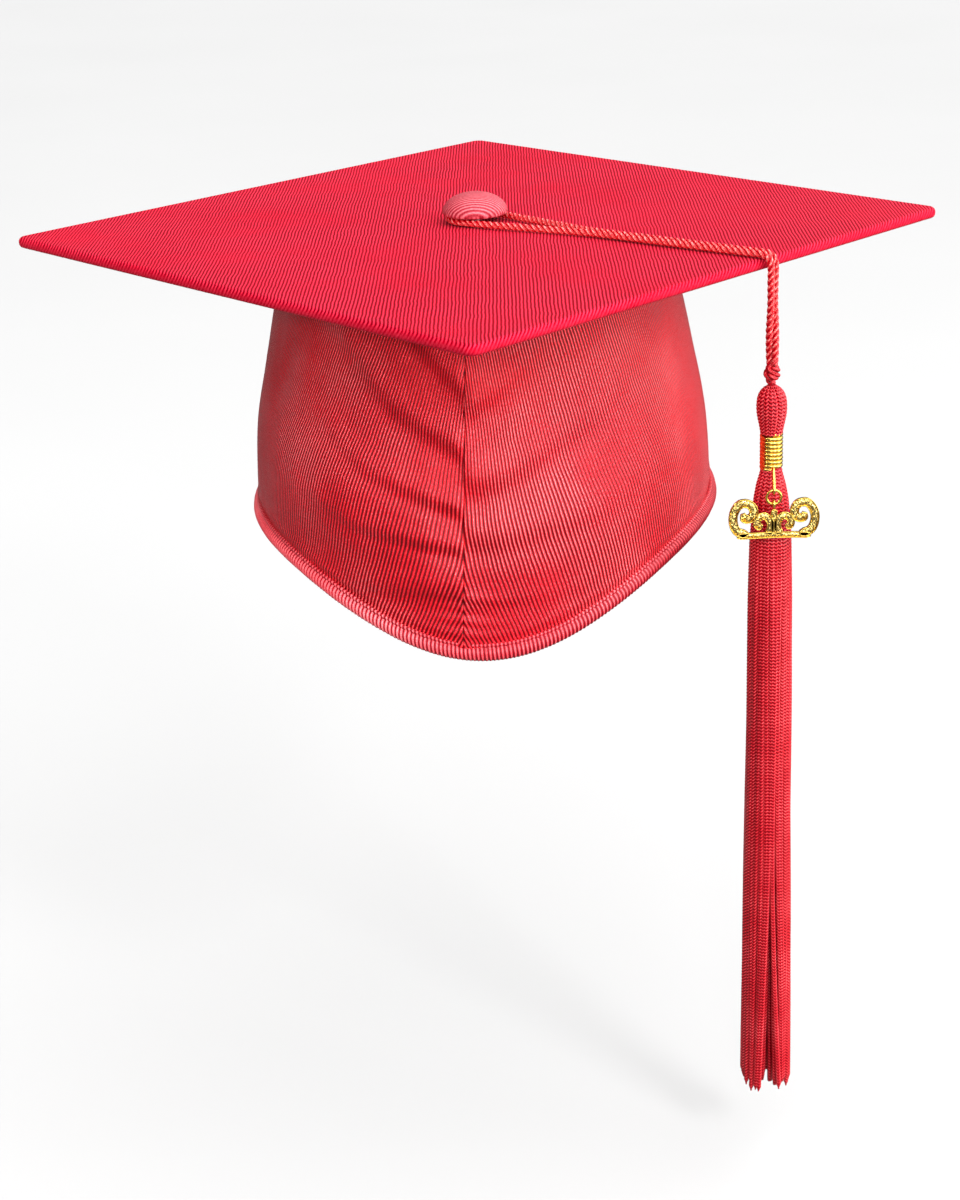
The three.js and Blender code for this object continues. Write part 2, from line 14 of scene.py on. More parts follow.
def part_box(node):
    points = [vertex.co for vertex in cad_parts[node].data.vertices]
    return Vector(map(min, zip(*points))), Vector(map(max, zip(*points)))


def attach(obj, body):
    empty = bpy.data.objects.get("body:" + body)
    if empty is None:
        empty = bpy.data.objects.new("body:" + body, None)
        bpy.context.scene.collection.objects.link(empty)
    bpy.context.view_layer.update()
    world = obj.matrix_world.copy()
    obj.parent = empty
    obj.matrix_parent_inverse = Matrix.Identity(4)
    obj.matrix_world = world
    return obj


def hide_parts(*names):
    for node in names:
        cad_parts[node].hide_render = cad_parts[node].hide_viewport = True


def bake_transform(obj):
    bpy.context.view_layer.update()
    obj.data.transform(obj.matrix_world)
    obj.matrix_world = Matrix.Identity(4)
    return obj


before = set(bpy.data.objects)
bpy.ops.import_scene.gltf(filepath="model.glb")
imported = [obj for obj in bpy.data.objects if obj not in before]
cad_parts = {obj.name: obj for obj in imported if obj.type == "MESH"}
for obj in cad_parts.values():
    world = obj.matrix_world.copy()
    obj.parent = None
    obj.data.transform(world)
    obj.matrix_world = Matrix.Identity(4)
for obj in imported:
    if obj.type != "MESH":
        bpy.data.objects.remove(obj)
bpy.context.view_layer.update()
rng = np.random.default_rng(11)

MM = 0.001


def cad_mm(node):
    """Lowest and highest corner of a CAD node, in millimetres."""
    low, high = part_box(node)
    return np.array(low) / MM, np.array(high) / MM


# Board
BOARD_LOW, BOARD_HIGH = cad_mm("board_top_cover")
BOARD_TOP = BOARD_HIGH[2]
BOARD_UNDER = BOARD_LOW[2]
BOARD_HALF = 120.65
CORNER_RADIUS = 4.0
EDGE_ROUND = 1.7

# Skull cap
HEM_HALF_WIDTH = 85.0
HEM_HALF_DEPTH = 100.0
CROWN_PULL_X = 15.0
CROWN_PULL_Y = 12.0
PULL_POWER = 1.2
PEAK_DROP = 25.5
PEAK_POWER = 4.3
SKULL_TOP = BOARD_UNDER - 0.3
SIDE_SEAM = 105.0
BELLY = 2.6
SEAM_LEAN_TOP = 2.4
SEAM_LEAN_HEM = 5.2
RIB_LEAN = math.radians(15)
RIB_PITCH = 1.5
RIB_SAMPLES = 6

# Cord. STRAND is each strand's distance from its middle.
CORD_RADIUS = 1.25
CORD_ANGLE = math.radians(-36.5)
CORD_ABOVE = CORD_RADIUS + 0.35
STRAND = 1.4
DRAWN_IN = 0.3
DROP_REACH = 124.9
BEND_RADIUS = 3.4
PIVOT_DROP = BEND_RADIUS - CORD_ABOVE
SWAY_DROP = 34.95

# Tassel, as depths below the board's top
KNOT_TOP = SWAY_DROP + CORD_RADIUS + 0.3
KNOT_LENGTH = 7.1
HEAD_TOP = KNOT_TOP + KNOT_LENGTH
NECK_TOP = 60.2
NECK_BOTTOM = 74.3
WIRE_OUTER = 4.05
STRAND_ENDS = 322.0
CHAIN_PITCH = 1.25
RING_DEPTH = 81.7
RING_RADIUS = 2.5
RING_OUT = 8.2
LINK = 1.1
PLATE_OUT = 8.75
WIRE = 0.5
PLATE_THICK = 1.3


# ---- Meshes ----


def make(name, parts, material, body):
    """One mesh object from (points in mm, faces, uv in mm) parts, riding on a body."""
    points, faces, uvs = [], [], []
    start = 0
    for part_points, part_faces, part_uv in parts:
        flat = np.asarray(part_points, float).reshape(-1, 3)
        points.append(flat)
        uvs.append(np.asarray(part_uv, float).reshape(-1, 2))
        faces.extend([[v + start for v in face] for face in part_faces])
        start += len(flat)
    mesh = bpy.data.meshes.new(name)
    mesh.from_pydata((np.vstack(points) * MM).tolist(), [], faces)
    mesh.update()
    layer = mesh.uv_layers.new(name="cloth")
    corners = np.empty(len(mesh.loops), dtype=np.int64)
    mesh.loops.foreach_get("vertex_index", corners)
    layer.data.foreach_set("uv", np.vstack(uvs)[corners].astype(np.float32).ravel())
    mesh.polygons.foreach_set("use_smooth", [True] * len(mesh.polygons))
    mesh.materials.append(material)
    piece = bpy.data.objects.new(name, mesh)
    bpy.context.scene.collection.objects.link(piece)
    face_out(mesh)
    if body:
        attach(piece, body)
    return piece


def face_out(mesh):
    """Turns every closed shell of a mesh right side out."""
    work = bmesh.new()
    work.from_mesh(mesh)
    bmesh.ops.recalc_face_normals(work, faces=work.faces)
    work.to_mesh(mesh)
    work.free()


def grid_faces(rows, cols, close_rows=False, close_cols=False):
    """Quads of a grid of points stored row by row."""
    last_row = rows if close_rows else rows - 1
    last_col = cols if close_cols else cols - 1
    i, j = np.meshgrid(np.arange(last_row), np.arange(last_col), indexing="ij")
    down = (i + 1) % rows
    right = (j + 1) % cols
    quads = np.stack([i * cols + j, down * cols + j, down * cols + right, i * cols + right], axis=-1)
    return quads.reshape(-1, 4).tolist()


def shell(outer, inner, uv):
    """A closed sheet between two grids of points of the same shape."""
    rows, cols = outer.shape[:2]
    count = rows * cols
    front = grid_faces(rows, cols)
    back = [[v + count for v in reversed(face)] for face in front]
    edge = list(range(cols)) + [i * cols + cols - 1 for i in range(1, rows)]
    edge += [(rows - 1) * cols + j for j in range(cols - 2, -1, -1)]
    edge += [i * cols for i in range(rows - 2, 0, -1)]
    rim = [[a, b, b + count, a + count] for a, b in zip(edge, edge[1:] + edge[:1])]
    points = np.vstack([outer.reshape(-1, 3), inner.reshape(-1, 3)])
    return points, front + back + rim, np.vstack([uv.reshape(-1, 2)] * 2)


def run_along(path):
    """Distance along a path at each of its points."""
    return np.concatenate([[0], np.cumsum(np.linalg.norm(np.diff(path, axis=0), axis=1))])


def round_angles(count):
    return np.arange(count) / count * 2 * math.pi


def unit(vectors):
    return vectors / np.maximum(np.linalg.norm(vectors, axis=-1, keepdims=True), 1e-12)


def path_frames(path, closed=False, start=None):
    """Side and up of each point of a path, turning as little as the path lets them."""
    if closed:
        tangent = unit(np.roll(path, -1, axis=0) - np.roll(path, 1, axis=0))
    else:
        tangent = unit(np.gradient(path, axis=0))
    side = np.cross(tangent[0], [0, 0, 1.0]) if start is None else np.asarray(start, float)
    if np.linalg.norm(side) < 1e-3:
        side = np.cross(tangent[0], [0, 1.0, 0])
    sides = np.empty_like(path)
    for i, along in enumerate(tangent):
        side = side - along * (side @ along)
        side = side / np.linalg.norm(side)
        sides[i] = side
    return sides, np.cross(tangent, sides)


def sweep(path, section, closed=False, start=None):
    """A tube along a path. section is (k, 2), or (n, k, 2) for one that changes along it."""
    path = np.asarray(path, float)
    section = np.asarray(section, float)
    if section.ndim == 2:
        section = np.repeat(section[None], len(path), axis=0)
    side, up = path_frames(path, closed, start)
    sides = section.shape[1]
    points = path[:, None] + section[..., :1] * side[:, None] + section[..., 1:] * up[:, None]
    faces = grid_faces(len(path), sides, close_rows=closed, close_cols=True)
    if not closed:
        end = (len(path) - 1) * sides
        faces.append(list(range(sides)))
        faces.append([end + k for k in reversed(range(sides))])
    run = run_along(path)
    uv = np.stack(np.broadcast_arrays(np.arange(sides)[None] / sides, run[:, None]), axis=-1)
    return points.reshape(-1, 3), faces, uv


def circle(radius, sides):
    angle = round_angles(sides)
    return np.stack([radius * np.cos(angle), radius * np.sin(angle)], axis=-1)


def smooth_path(points, step, closed=False):
    """A centripetal Catmull-Rom curve through the points, sampled about every step."""
    points = np.asarray(points, float)
    if closed:
        padded = np.vstack([points[-1], points, points[0], points[1]])
    else:
        padded = np.vstack([2 * points[0] - points[1], points, 2 * points[-1] - points[-2]])
    samples = []
    for p0, p1, p2, p3 in zip(padded, padded[1:], padded[2:], padded[3:]):
        t1 = math.sqrt(np.linalg.norm(p1 - p0))
        t2 = t1 + math.sqrt(np.linalg.norm(p2 - p1))
        t3 = t2 + math.sqrt(np.linalg.norm(p3 - p2))
        count = max(2, int(round(np.linalg.norm(p2 - p1) / step)))
        t = np.linspace(t1, t2, count, endpoint=False)[:, None]
        a1 = (t1 - t) / t1 * p0 + t / t1 * p1
        a2 = (t2 - t) / (t2 - t1) * p1 + (t - t1) / (t2 - t1) * p2
        a3 = (t3 - t) / (t3 - t2) * p2 + (t - t2) / (t3 - t2) * p3
        b1 = (t2 - t) / t2 * a1 + t / t2 * a2
        b2 = (t3 - t) / (t3 - t1) * a2 + (t - t1) / (t3 - t1) * a3
        samples.append((t2 - t) / (t2 - t1) * b1 + (t - t1) / (t2 - t1) * b2)
    if not closed:
        samples.append(points[-1:])
    return np.vstack(samples)


# ---- Materials ----


def feed(tree, made, inputs):
    """Gives a shader node its inputs, as numbers or as sockets to link."""
    for key, value in inputs.items():
        if isinstance(value, bpy.types.NodeSocket):
            tree.links.new(value, made.inputs[key])
        else:
            made.inputs[key].default_value = value


def node(tree, kind, inputs=None, **settings):
    """A shader node with its settings and inputs."""
    made = tree.nodes.new("ShaderNode" + kind)
    for key, value in settings.items():
        setattr(made, key, value)
    feed(tree, made, inputs or {})
    return made


def maths(tree, operation, first, second=0.0):
    return node(tree, "Math", {0: first, 1: second}, operation=operation).outputs[0]


def blend_colour(tree, factor, low, high):
    return node(tree, "Mix", {0: factor, 6: low, 7: high}, data_type="RGBA").outputs[2]


def noise(tree, vector, scale, detail=2.0, rough=0.5):
    made = node(tree, "TexNoise", {"Vector": vector, "Scale": scale, "Detail": detail, "Roughness": rough})
    return made.outputs["Fac"]


def ramp(tree, value, low, high):
    made = node(tree, "MapRange", {"Value": value, "From Min": low, "From Max": high})
    made.interpolation_type = "SMOOTHSTEP"
    return made.outputs["Result"]


def total(tree, first, *others):
    for other in others:
        first = maths(tree, "ADD", first, other)
    return first


def drawn_noise(tree, across, along, rough=0.6):
    """Noise over a pair of coordinates."""
    return noise(tree, node(tree, "CombineXYZ", {0: across, 1: along}).outputs[0], 1.0, 3.0, rough)


def spread(tree, value, **limits):
    """value mapped linearly, with limits named From_Min, From_Max, To_Min and To_Max."""
    inputs = {key.replace("_", " "): limit for key, limit in limits.items()}
    return node(tree, "MapRange", {"Value": value, **inputs}).outputs["Result"]


def bump(tree, strength, distance, height):
    """A normal roughened by a height, distance in mm."""
    return node(tree, "Bump", {"Strength": strength, "Distance": distance * MM, "Height": height}).outputs[0]


def object_place(tree):
    return node(tree, "TexCoord").outputs["Object"]


def cloth_uv(tree):
    """The two coordinates of the uv map."""
    split = node(tree, "SeparateXYZ", {0: node(tree, "UVMap", uv_map="cloth").outputs["UV"]})
    return split.outputs[0], split.outputs[1]


def dimmed(colour, factor):
    return tuple(c * factor for c in colour[:3]) + (1.0,)


def srgb(red, green, blue):
    """A colour given as 0 to 255 display values, as linear light."""
    def linear(value):
        value /= 255
        return value / 12.92 if value <= 0.04045 else ((value + 0.055) / 1.055) ** 2.4
    return (linear(red), linear(green), linear(blue), 1.0)


def new_material(name):
    material = bpy.data.materials.new(name)
    material.use_nodes = True
    tree = material.node_tree
    return material, tree, tree.nodes["Principled BSDF"]


def colour_ramp(tree, value, stops):
    """Colours at places between 0 and 1."""
    made = node(tree, "ValToRGB", {0: value})
    elements = made.color_ramp.elements
    while len(elements) < len(stops):
        elements.new(0.5)
    for element, (place, colour) in zip(elements, stops):
        element.position = place
        element.color = colour
    return made.outputs[0]


def scaled(tree, value, factor, offset=0.0):
    """value times factor, plus offset."""
    return node(tree, "Math", {0: value, 1: factor, 2: offset}, operation="MULTIPLY_ADD").outputs[0]


THREAD_PITCH = 0.55

# Light glances off dyed filament with the dye's own colour.
DYED_SHINE = (1, 0.36, 0.38, 1)


def satin(name, groove, body, crest_highlight, pitch=1.2, roughness=0.4, relief=0.12, wander=0.35, contrast=0.8, gloss=0.3,
          lustre=0.0, mottle=0.5, pale=0.0, tint=DYED_SHINE, calm_below=None):
    """Ribbed satin, darkened with painted shade in the rib grooves and lit with a painted highlight on the rib crests.
    The rib phase is the uv map's first coordinate, in mm, and the ribs run along the second.

    Below the height calm_below, in metres, the ribs fade and a painted highlight lightens the cloth.
    """
    material, tree, bsdf = new_material(name)
    across, along = cloth_uv(tree)
    place = object_place(tree)
    drift = scaled(tree, noise(tree, place, 90.0, 2.0), wander * 4)
    phase = scaled(tree, maths(tree, "ADD", across, drift), 2 * math.pi / pitch)
    rib = maths(tree, "SINE", phase)
    flecks = drawn_noise(tree, scaled(tree, across, 2.4), scaled(tree, along, 1.3), 0.7)
    fleck = scaled(tree, ramp(tree, flecks, 0.34, 0.66), 1.0, -0.5)
    patch = scaled(tree, noise(tree, place, 24.0, 3.0, 0.6), 1.0, -0.5)
    clear = scaled(tree, ramp(tree, noise(tree, place, 30.0, 2.0), 0.25, 0.7), 0.45, 0.55)
    if calm_below:
        height = node(tree, "SeparateXYZ", {0: place}).outputs[2]
        flat = ramp(tree, height, calm_below - 0.002, calm_below)
        clear = maths(tree, "MULTIPLY", clear, scaled(tree, flat, 0.75, 0.25))
    rib = maths(tree, "MULTIPLY", rib, clear)
    tone = scaled(tree, rib, contrast / 2, 0.5)
    if calm_below:
        # Painted highlight: the cloth over the board's edge and under it is lightened.
        tone = maths(tree, "ADD", tone, scaled(tree, flat, -0.18, 0.18))
    tone = total(tree, tone, scaled(tree, fleck, 0.3), scaled(tree, patch, mottle))
    # Painted shade and highlight: the ramp runs from the groove colour between the ribs, through the body colour, to
    # the crest colour on the ribs. At the top it reaches the crest colour whitened by pale, a brighter painted
    # highlight.
    painted_highlight = tuple(pale + (1 - pale) * c for c in crest_highlight[:3]) + (1.0,)
    stops = ((0.04, groove), (0.36, body), (0.72, crest_highlight), (1.0, painted_highlight))
    threads = maths(tree, "SINE", scaled(tree, along, 2 * math.pi / THREAD_PITCH))
    height = total(tree, scaled(tree, rib, 0.6), scaled(tree, fleck, 0.35), scaled(tree, threads, 0.06))
    feed(tree, bsdf, {
        "Base Color": colour_ramp(tree, scaled(tree, tone, 1 / 1.4), stops),
        "Normal": bump(tree, 0.9, relief, height),
        "Roughness": spread(tree, tone, To_Min=roughness + 0.12, To_Max=roughness - 0.1),
        "Sheen Weight": 0.04, "Sheen Roughness": 0.35, "Sheen Tint": (1, 0.4, 0.45, 1),
        "Specular IOR Level": gloss, "Metallic": lustre, "Specular Tint": tint})
    return material


def fibre(name, dark, light, roughness=0.38, relief=0.08, gloss=0.5, shine=DYED_SHINE, crest_highlight=None):
    """Glossy spun thread: fine fibres drawn out along the uv map's second coordinate.

    With a crest colour the uv map's first coordinate is how far out the surface stands, 0 in a groove and 1 on top,
    and the colour runs from painted shade in the grooves to a painted highlight on top.
    """
    material, tree, bsdf = new_material(name)
    across, along = cloth_uv(tree)
    strand = drawn_noise(tree, scaled(tree, across, 24.0), scaled(tree, along, 1.5))
    if crest_highlight:
        stands = maths(tree, "ADD", across, scaled(tree, strand, 0.9, -0.5))
        # Painted shade in the grooves between plies, and a painted highlight in the crest colour on the ply tops.
        colour = colour_ramp(tree, stands, ((0.2, dark), (0.52, light), (0.88, light), (1.0, crest_highlight)))
    else:
        fuzz = noise(tree, object_place(tree), 150.0, 2.0)
        tone = total(tree, scaled(tree, fuzz, 0.5), scaled(tree, strand, 0.6))
        colour = blend_colour(tree, ramp(tree, tone, 0.3, 0.8), dark, light)
    feed(tree, bsdf, {"Base Color": colour, "Normal": bump(tree, 0.7, relief, strand), "Roughness": roughness,
                      "Specular IOR Level": gloss, "Specular Tint": shine})
    return material


def chainette_cloth(name, dark, body, light, crest_highlight):
    """Knitted strand: uv's first coordinate runs round it, the second along it in mm."""
    material, tree, bsdf = new_material(name)
    around, along = cloth_uv(tree)
    off_centre = maths(tree, "ABSOLUTE", scaled(tree, around, 1.0, -0.5))
    phase = maths(tree, "ADD", maths(tree, "DIVIDE", along, CHAIN_PITCH), scaled(tree, off_centre, 3.0))
    wave = maths(tree, "COSINE", scaled(tree, phase, 2 * math.pi))
    centre = ramp(tree, off_centre, 0.0, 0.06)
    strand = drawn_noise(tree, scaled(tree, around, 30.0), along)
    patch = scaled(tree, noise(tree, object_place(tree), 60.0), 1.0, -0.5)
    # Painted highlight and shade: the tone rises on each stitch's crest and falls between stitches and along the V
    # down the middle. The strand and patch noise vary it at random.
    tone = total(tree, scaled(tree, scaled(tree, wave, 0.5, 0.5), 0.55), scaled(tree, centre, 0.2),
                 scaled(tree, strand, 0.25), scaled(tree, patch, 0.3))
    height = maths(tree, "ADD", wave, scaled(tree, strand, 0.5))
    feed(tree, bsdf, {
        "Base Color": colour_ramp(tree, tone, ((0.14, dark), (0.48, body), (0.76, light), (1.0, crest_highlight))),
        "Normal": bump(tree, 0.6, 0.1, height), "Roughness": 0.24, "Specular IOR Level": 0.6,
        "Specular Tint": DYED_SHINE})
    return material


def metal(name, colour, roughness):
    """Polished metal with faint rubbing marks."""
    material, tree, bsdf = new_material(name)
    marks = noise(tree, object_place(tree), 400.0, 4.0, 0.7)
    feed(tree, bsdf, {
        "Roughness": spread(tree, marks, From_Min=0.3, From_Max=0.7, To_Min=roughness, To_Max=roughness + 0.1),
        "Base Color": blend_colour(tree, ramp(tree, marks, 0.25, 0.6), dimmed(colour, 0.72), colour),
        "Normal": bump(tree, 0.25, 0.02, marks), "Metallic": 1.0})
    return material


def glitter(name, colour, flake):
    """Metal glitter: flakes a fraction of a millimetre across, each tilted its own way."""
    material, tree, bsdf = new_material(name)
    cells = node(tree, "TexVoronoi", {"Vector": object_place(tree), "Scale": 1 / (flake * MM)}, feature="F1")
    turned = node(tree, "VectorMath", {0: cells.outputs["Color"], 1: (0.5, 0.5, 0.5)}, operation="SUBTRACT")
    tilt = node(tree, "VectorMath", {0: turned.outputs[0], "Scale": 0.8}, operation="SCALE")
    facing = node(tree, "NewGeometry").outputs["Normal"]
    leaned_out = node(tree, "VectorMath", {0: facing, 1: tilt.outputs[0]}, operation="ADD")
    normal = node(tree, "VectorMath", {0: leaned_out.outputs[0]}, operation="NORMALIZE")
    split = node(tree, "SeparateXYZ", {0: cells.outputs["Color"]})
    feed(tree, bsdf, {"Normal": normal.outputs[0], "Metallic": 1.0, "Roughness": 0.22,
                      "Base Color": blend_colour(tree, split.outputs[0], dimmed(colour, 0.5), colour)})
    return material


def plain(name, dark, light, roughness, scale=500.0):
    """Moulded or pressed material with a fine mottled grain."""
    material, tree, bsdf = new_material(name)
    grain = noise(tree, object_place(tree), scale, 4.0, 0.6)
    feed(tree, bsdf, {"Base Color": blend_colour(tree, grain, dark, light), "Normal": bump(tree, 0.3, 0.05, grain),
                      "Roughness": roughness})
    return material


# Each satin darkens to painted shade in its rib grooves and lightens to a painted highlight on its rib crests,
# whitened further where pale is set.
board_satin = satin("board_satin", srgb(112, 0, 18), srgb(190, 2, 34), srgb(236, 50, 76), gloss=0.03, lustre=0.15,
                    contrast=1.4, wander=0.25, mottle=0.25, calm_below=BOARD_TOP * MM)
skull_satin = satin("skull_satin", srgb(96, 0, 8), srgb(208, 0, 20), srgb(254, 44, 58), gloss=0.6, lustre=0.12,
                    contrast=1.6, roughness=0.3, relief=0.22, mottle=0.7, wander=0.2, pale=0.2, tint=(1, 0.38, 0.4, 1))
binding_satin = satin("binding_satin", srgb(124, 0, 16), srgb(196, 16, 38), srgb(244, 96, 104), pitch=1.5, relief=0.03,
                      wander=0.0, contrast=1.3, gloss=0.8, pale=0.3)
button_satin = satin("button_satin", srgb(128, 10, 26), srgb(178, 52, 68), srgb(214, 116, 124), pitch=1.1, gloss=0.5,
                     contrast=0.85, mottle=0.9, wander=0.1)
lining_satin = satin("lining_satin", srgb(70, 2, 12), srgb(106, 8, 22), srgb(140, 20, 36), pitch=0.8, relief=0.05)
# The cord and knot rayon darken to painted shade in the ply grooves and lighten to painted highlights on the ply tops.
cord_rayon = fibre("cord_rayon", srgb(84, 0, 6), srgb(198, 0, 20), roughness=0.22, gloss=0.6,
                   shine=(1, 0.5, 0.48, 1), crest_highlight=srgb(255, 156, 150))
knot_rayon = fibre("knot_rayon", srgb(64, 0, 6), srgb(168, 0, 18), roughness=0.25, gloss=0.6, crest_highlight=srgb(236, 84, 90))
thread_dark = fibre("thread_dark", srgb(110, 4, 18), srgb(160, 16, 34), relief=0.03)


# The tassel's knitted strands are painted darker between stitches and lighter on the stitch crests.
tassel_chain = chainette_cloth("tassel_chain", srgb(60, 0, 5), srgb(152, 0, 17), srgb(220, 16, 36),
                               srgb(250, 124, 128))
buckram = satin("buckram", srgb(74, 6, 16), srgb(104, 16, 28), srgb(134, 34, 46), pitch=1.6, roughness=0.7)
millboard = plain("millboard", srgb(120, 112, 100), srgb(150, 140, 128), 0.9)
ivory_plastic = plain("ivory_plastic", srgb(226, 222, 214), srgb(240, 237, 230), 0.45)
elastic_web = plain("elastic_web", srgb(225, 218, 208), srgb(246, 242, 236), 0.8, 1500.0)
gilt = metal("gilt", srgb(228, 192, 92), 0.14)
gilt_glitter = glitter("gilt_glitter", srgb(250, 216, 126), 0.27)
steel = metal("steel", srgb(186, 188, 192), 0.3)


# ---- Camera and stage ----

# The camera looks at the middle of the board's top from in front, above and a little to the right.
CAMERA_DISTANCE = 0.8
CAMERA_RIGHT = 0.0116
CAMERA_RISE = math.radians(12.27)
CAMERA_YAW = math.radians(-0.98)
CAMERA_PITCH = math.radians(19.1)
CAMERA_ROLL = math.radians(-2.1)
CAMERA_LENS = 64.7
CAMERA_SHIFT = -0.1


def camera():
    lens = bpy.data.cameras.new("camera")
    lens.lens = CAMERA_LENS
    lens.sensor_width = 36.0
    lens.shift_y = CAMERA_SHIFT
    lens.clip_start = 0.01
    eye = bpy.data.objects.new("camera", lens)
    bpy.context.scene.collection.objects.link(eye)
    flat = math.cos(CAMERA_PITCH)
    ahead = Vector((math.sin(CAMERA_YAW) * flat, math.cos(CAMERA_YAW) * flat, -math.sin(CAMERA_PITCH)))
    right = Vector((math.cos(CAMERA_YAW), -math.sin(CAMERA_YAW), 0))
    up = right.cross(ahead)
    rolled_right = right * math.cos(CAMERA_ROLL) + up * math.sin(CAMERA_ROLL)
    rolled_up = up * math.cos(CAMERA_ROLL) - right * math.sin(CAMERA_ROLL)
    turn = Matrix((rolled_right, rolled_up, -ahead)).transposed().to_4x4()
    back = CAMERA_DISTANCE * math.cos(CAMERA_RISE)
    rise = CAMERA_DISTANCE * math.sin(CAMERA_RISE) + BOARD_TOP * MM
    eye.matrix_world = Matrix.Translation((CAMERA_RIGHT, -back, rise)) @ turn
    bpy.context.scene.camera = eye


def area_light(name, place, target, size, power):
    data = bpy.data.lights.new(name, "AREA")
    data.size = size
    data.energy = power
    lamp = bpy.data.objects.new(name, data)
    lamp.location = place
    lamp.rotation_euler = (Vector(target) - Vector(place)).to_track_quat("-Z", "Y").to_euler()
    bpy.context.scene.collection.objects.link(lamp)


# The floor and the surround look pale to the camera but send less light to the cap.
FLOOR_BOUNCE = (0.09, 0.09, 0.09, 1)
SURROUND_SEEN = 0.92
FLOOR_GAP = 30.0
FLOOR_REACH = 12.0

# Name, place, target, size and power.
LIGHTS = (
    ("key", (0.8, -1.0, 0.9), (0.02, 0, 0.05), 0.3, 8.0),
    ("side", (1.3, -0.35, 0.05), (0, 0, 0.02), 0.5, 6.5),
    ("front", (0.0, -1.4, 0.45), (0, 0, 0.05), 0.25, 4.4),
    ("left", (-1.0, -0.9, 0.6), (0, 0, 0.04), 0.25, 5.5),
    ("top", (0.0, 0.4, 1.5), (0, 0, 0.1), 1.0, 2),
)


def stage():
    """Pale floor under the tassel, soft lights and an even pale surround."""
    level = (BOARD_TOP - STRAND_ENDS - FLOOR_GAP) * MM
    mesh = bpy.data.meshes.new("floor")
    corners = [(x * FLOOR_REACH, y * FLOOR_REACH, level) for x, y in ((-1, -1), (1, -1), (1, 1), (-1, 1))]
    mesh.from_pydata(corners, [], [(0, 1, 2, 3)])
    material, tree, bsdf = new_material("floor")
    tone = noise(tree, object_place(tree), 3.0, 2.0)
    pale = blend_colour(tree, tone, (0.47, 0.47, 0.47, 1), (0.49, 0.49, 0.49, 1))
    seen = node(tree, "LightPath").outputs["Is Camera Ray"]
    feed(tree, bsdf, {"Base Color": blend_colour(tree, seen, FLOOR_BOUNCE, pale), "Roughness": 0.9})
    mesh.materials.append(material)
    floor = bpy.data.objects.new("floor", mesh)
    bpy.context.scene.collection.objects.link(floor)
    world = bpy.data.worlds.new("surround")
    world.use_nodes = True
    sky = world.node_tree
    toward = node(sky, "VectorMath", {0: node(sky, "TexCoord").outputs["Generated"], 1: (0.62, -0.30, 0.72)},
                  operation="DOT_PRODUCT")
    glow = spread(sky, toward.outputs["Value"], From_Min=0.0, From_Max=0.95, To_Min=0.06, To_Max=3.4)
    direct = node(sky, "LightPath").outputs["Is Camera Ray"]
    lit = maths(sky, "MULTIPLY", glow, scaled(sky, direct, -1.0, 1.0))
    strength = maths(sky, "ADD", lit, scaled(sky, direct, SURROUND_SEEN))
    feed(sky, sky.nodes["Background"], {0: (1, 1, 1, 1), 1: strength})
    bpy.context.scene.world = world
    bpy.context.scene.view_settings.view_transform = "Standard"
    for light in LIGHTS:
        area_light(*light)


# ---- Cord ----


def along_cord(out, across, down):
    """A point outward along the cord, across it to the back, and down from the board's top."""
    x = out * math.cos(CORD_ANGLE) - across * math.sin(CORD_ANGLE)
    y = out * math.sin(CORD_ANGLE) + across * math.cos(CORD_ANGLE)
    return np.array([x, y, BOARD_TOP - down])


TASSEL_AXIS = along_cord(DROP_REACH, 0, 0)[:2]

# Half of the cord's route, as outward, across and down: over the edge, then along the board and round the button.
HALF_RUN = [(DROP_REACH, STRAND, PIVOT_DROP), (DROP_REACH - 0.45, STRAND, PIVOT_DROP - 1.7),
            (DROP_REACH - 1.65, STRAND, 0.55 - CORD_ABOVE)]
HALF_RUN += [(out, across, -CORD_ABOVE) for out, across in (
    (DROP_REACH - BEND_RADIUS, STRAND), (DROP_REACH - 7, STRAND), (100, STRAND), (76, STRAND), (56, 1.45), (44, 2.7),
    (30, 5), (16, 7.4), (5, 9.1), (-3, 9.1), (-8.1, 5.1))]
RUN_BACK = (-9.6, 0, -CORD_ABOVE)

# From the pivot to the knot, outward and across as shares of a strand's distance, then down.
HALF_DROP = [(0, 1, 9), (0, 1, 15), (0.26, 0.97, 20), (0.71, 0.71, 26), (0.97, 0.26, 31), (1, 0, SWAY_DROP),
             (0.8, 0, KNOT_TOP)]


def cord_route():
    def drop(side):
        points = []
        for out, across, down in HALF_DROP:
            spread = side * STRAND * (1 - DRAWN_IN * down / SWAY_DROP)
            points.append(along_cord(DROP_REACH + out * spread, across * spread, down))
        return points
    near = [along_cord(out, -across, down) for out, across, down in HALF_RUN]
    far = [along_cord(out, across, down) for out, across, down in HALF_RUN]
    return drop(-1)[::-1] + near + [along_cord(*RUN_BACK)] + far[::-1] + drop(1)


def plies(path, radius, count, lay, sides=12):
    """Twisted yarns round a path. lay is the length of one turn."""
    side, up = path_frames(path)
    run = run_along(path)
    parts = []
    for ply in range(count):
        angle = run / lay * 2 * math.pi + ply / count * 2 * math.pi
        centre = path + radius * 0.48 * (np.cos(angle)[:, None] * side + np.sin(angle)[:, None] * up)
        points, faces, uv = sweep(centre, circle(radius * 0.56, sides))
        # The uv's first coordinate is how far each point stands out from the cord's axis, which the rayon materials
        # paint as shade in the grooves and as a highlight on the ply tops.
        from_axis = np.linalg.norm(points.reshape(len(path), sides, 3) - path[:, None], axis=-1) / radius
        uv[..., 0] = np.clip((from_axis - 0.66) / 0.38, 0, 1)
        parts.append((points, faces, uv))
    return parts


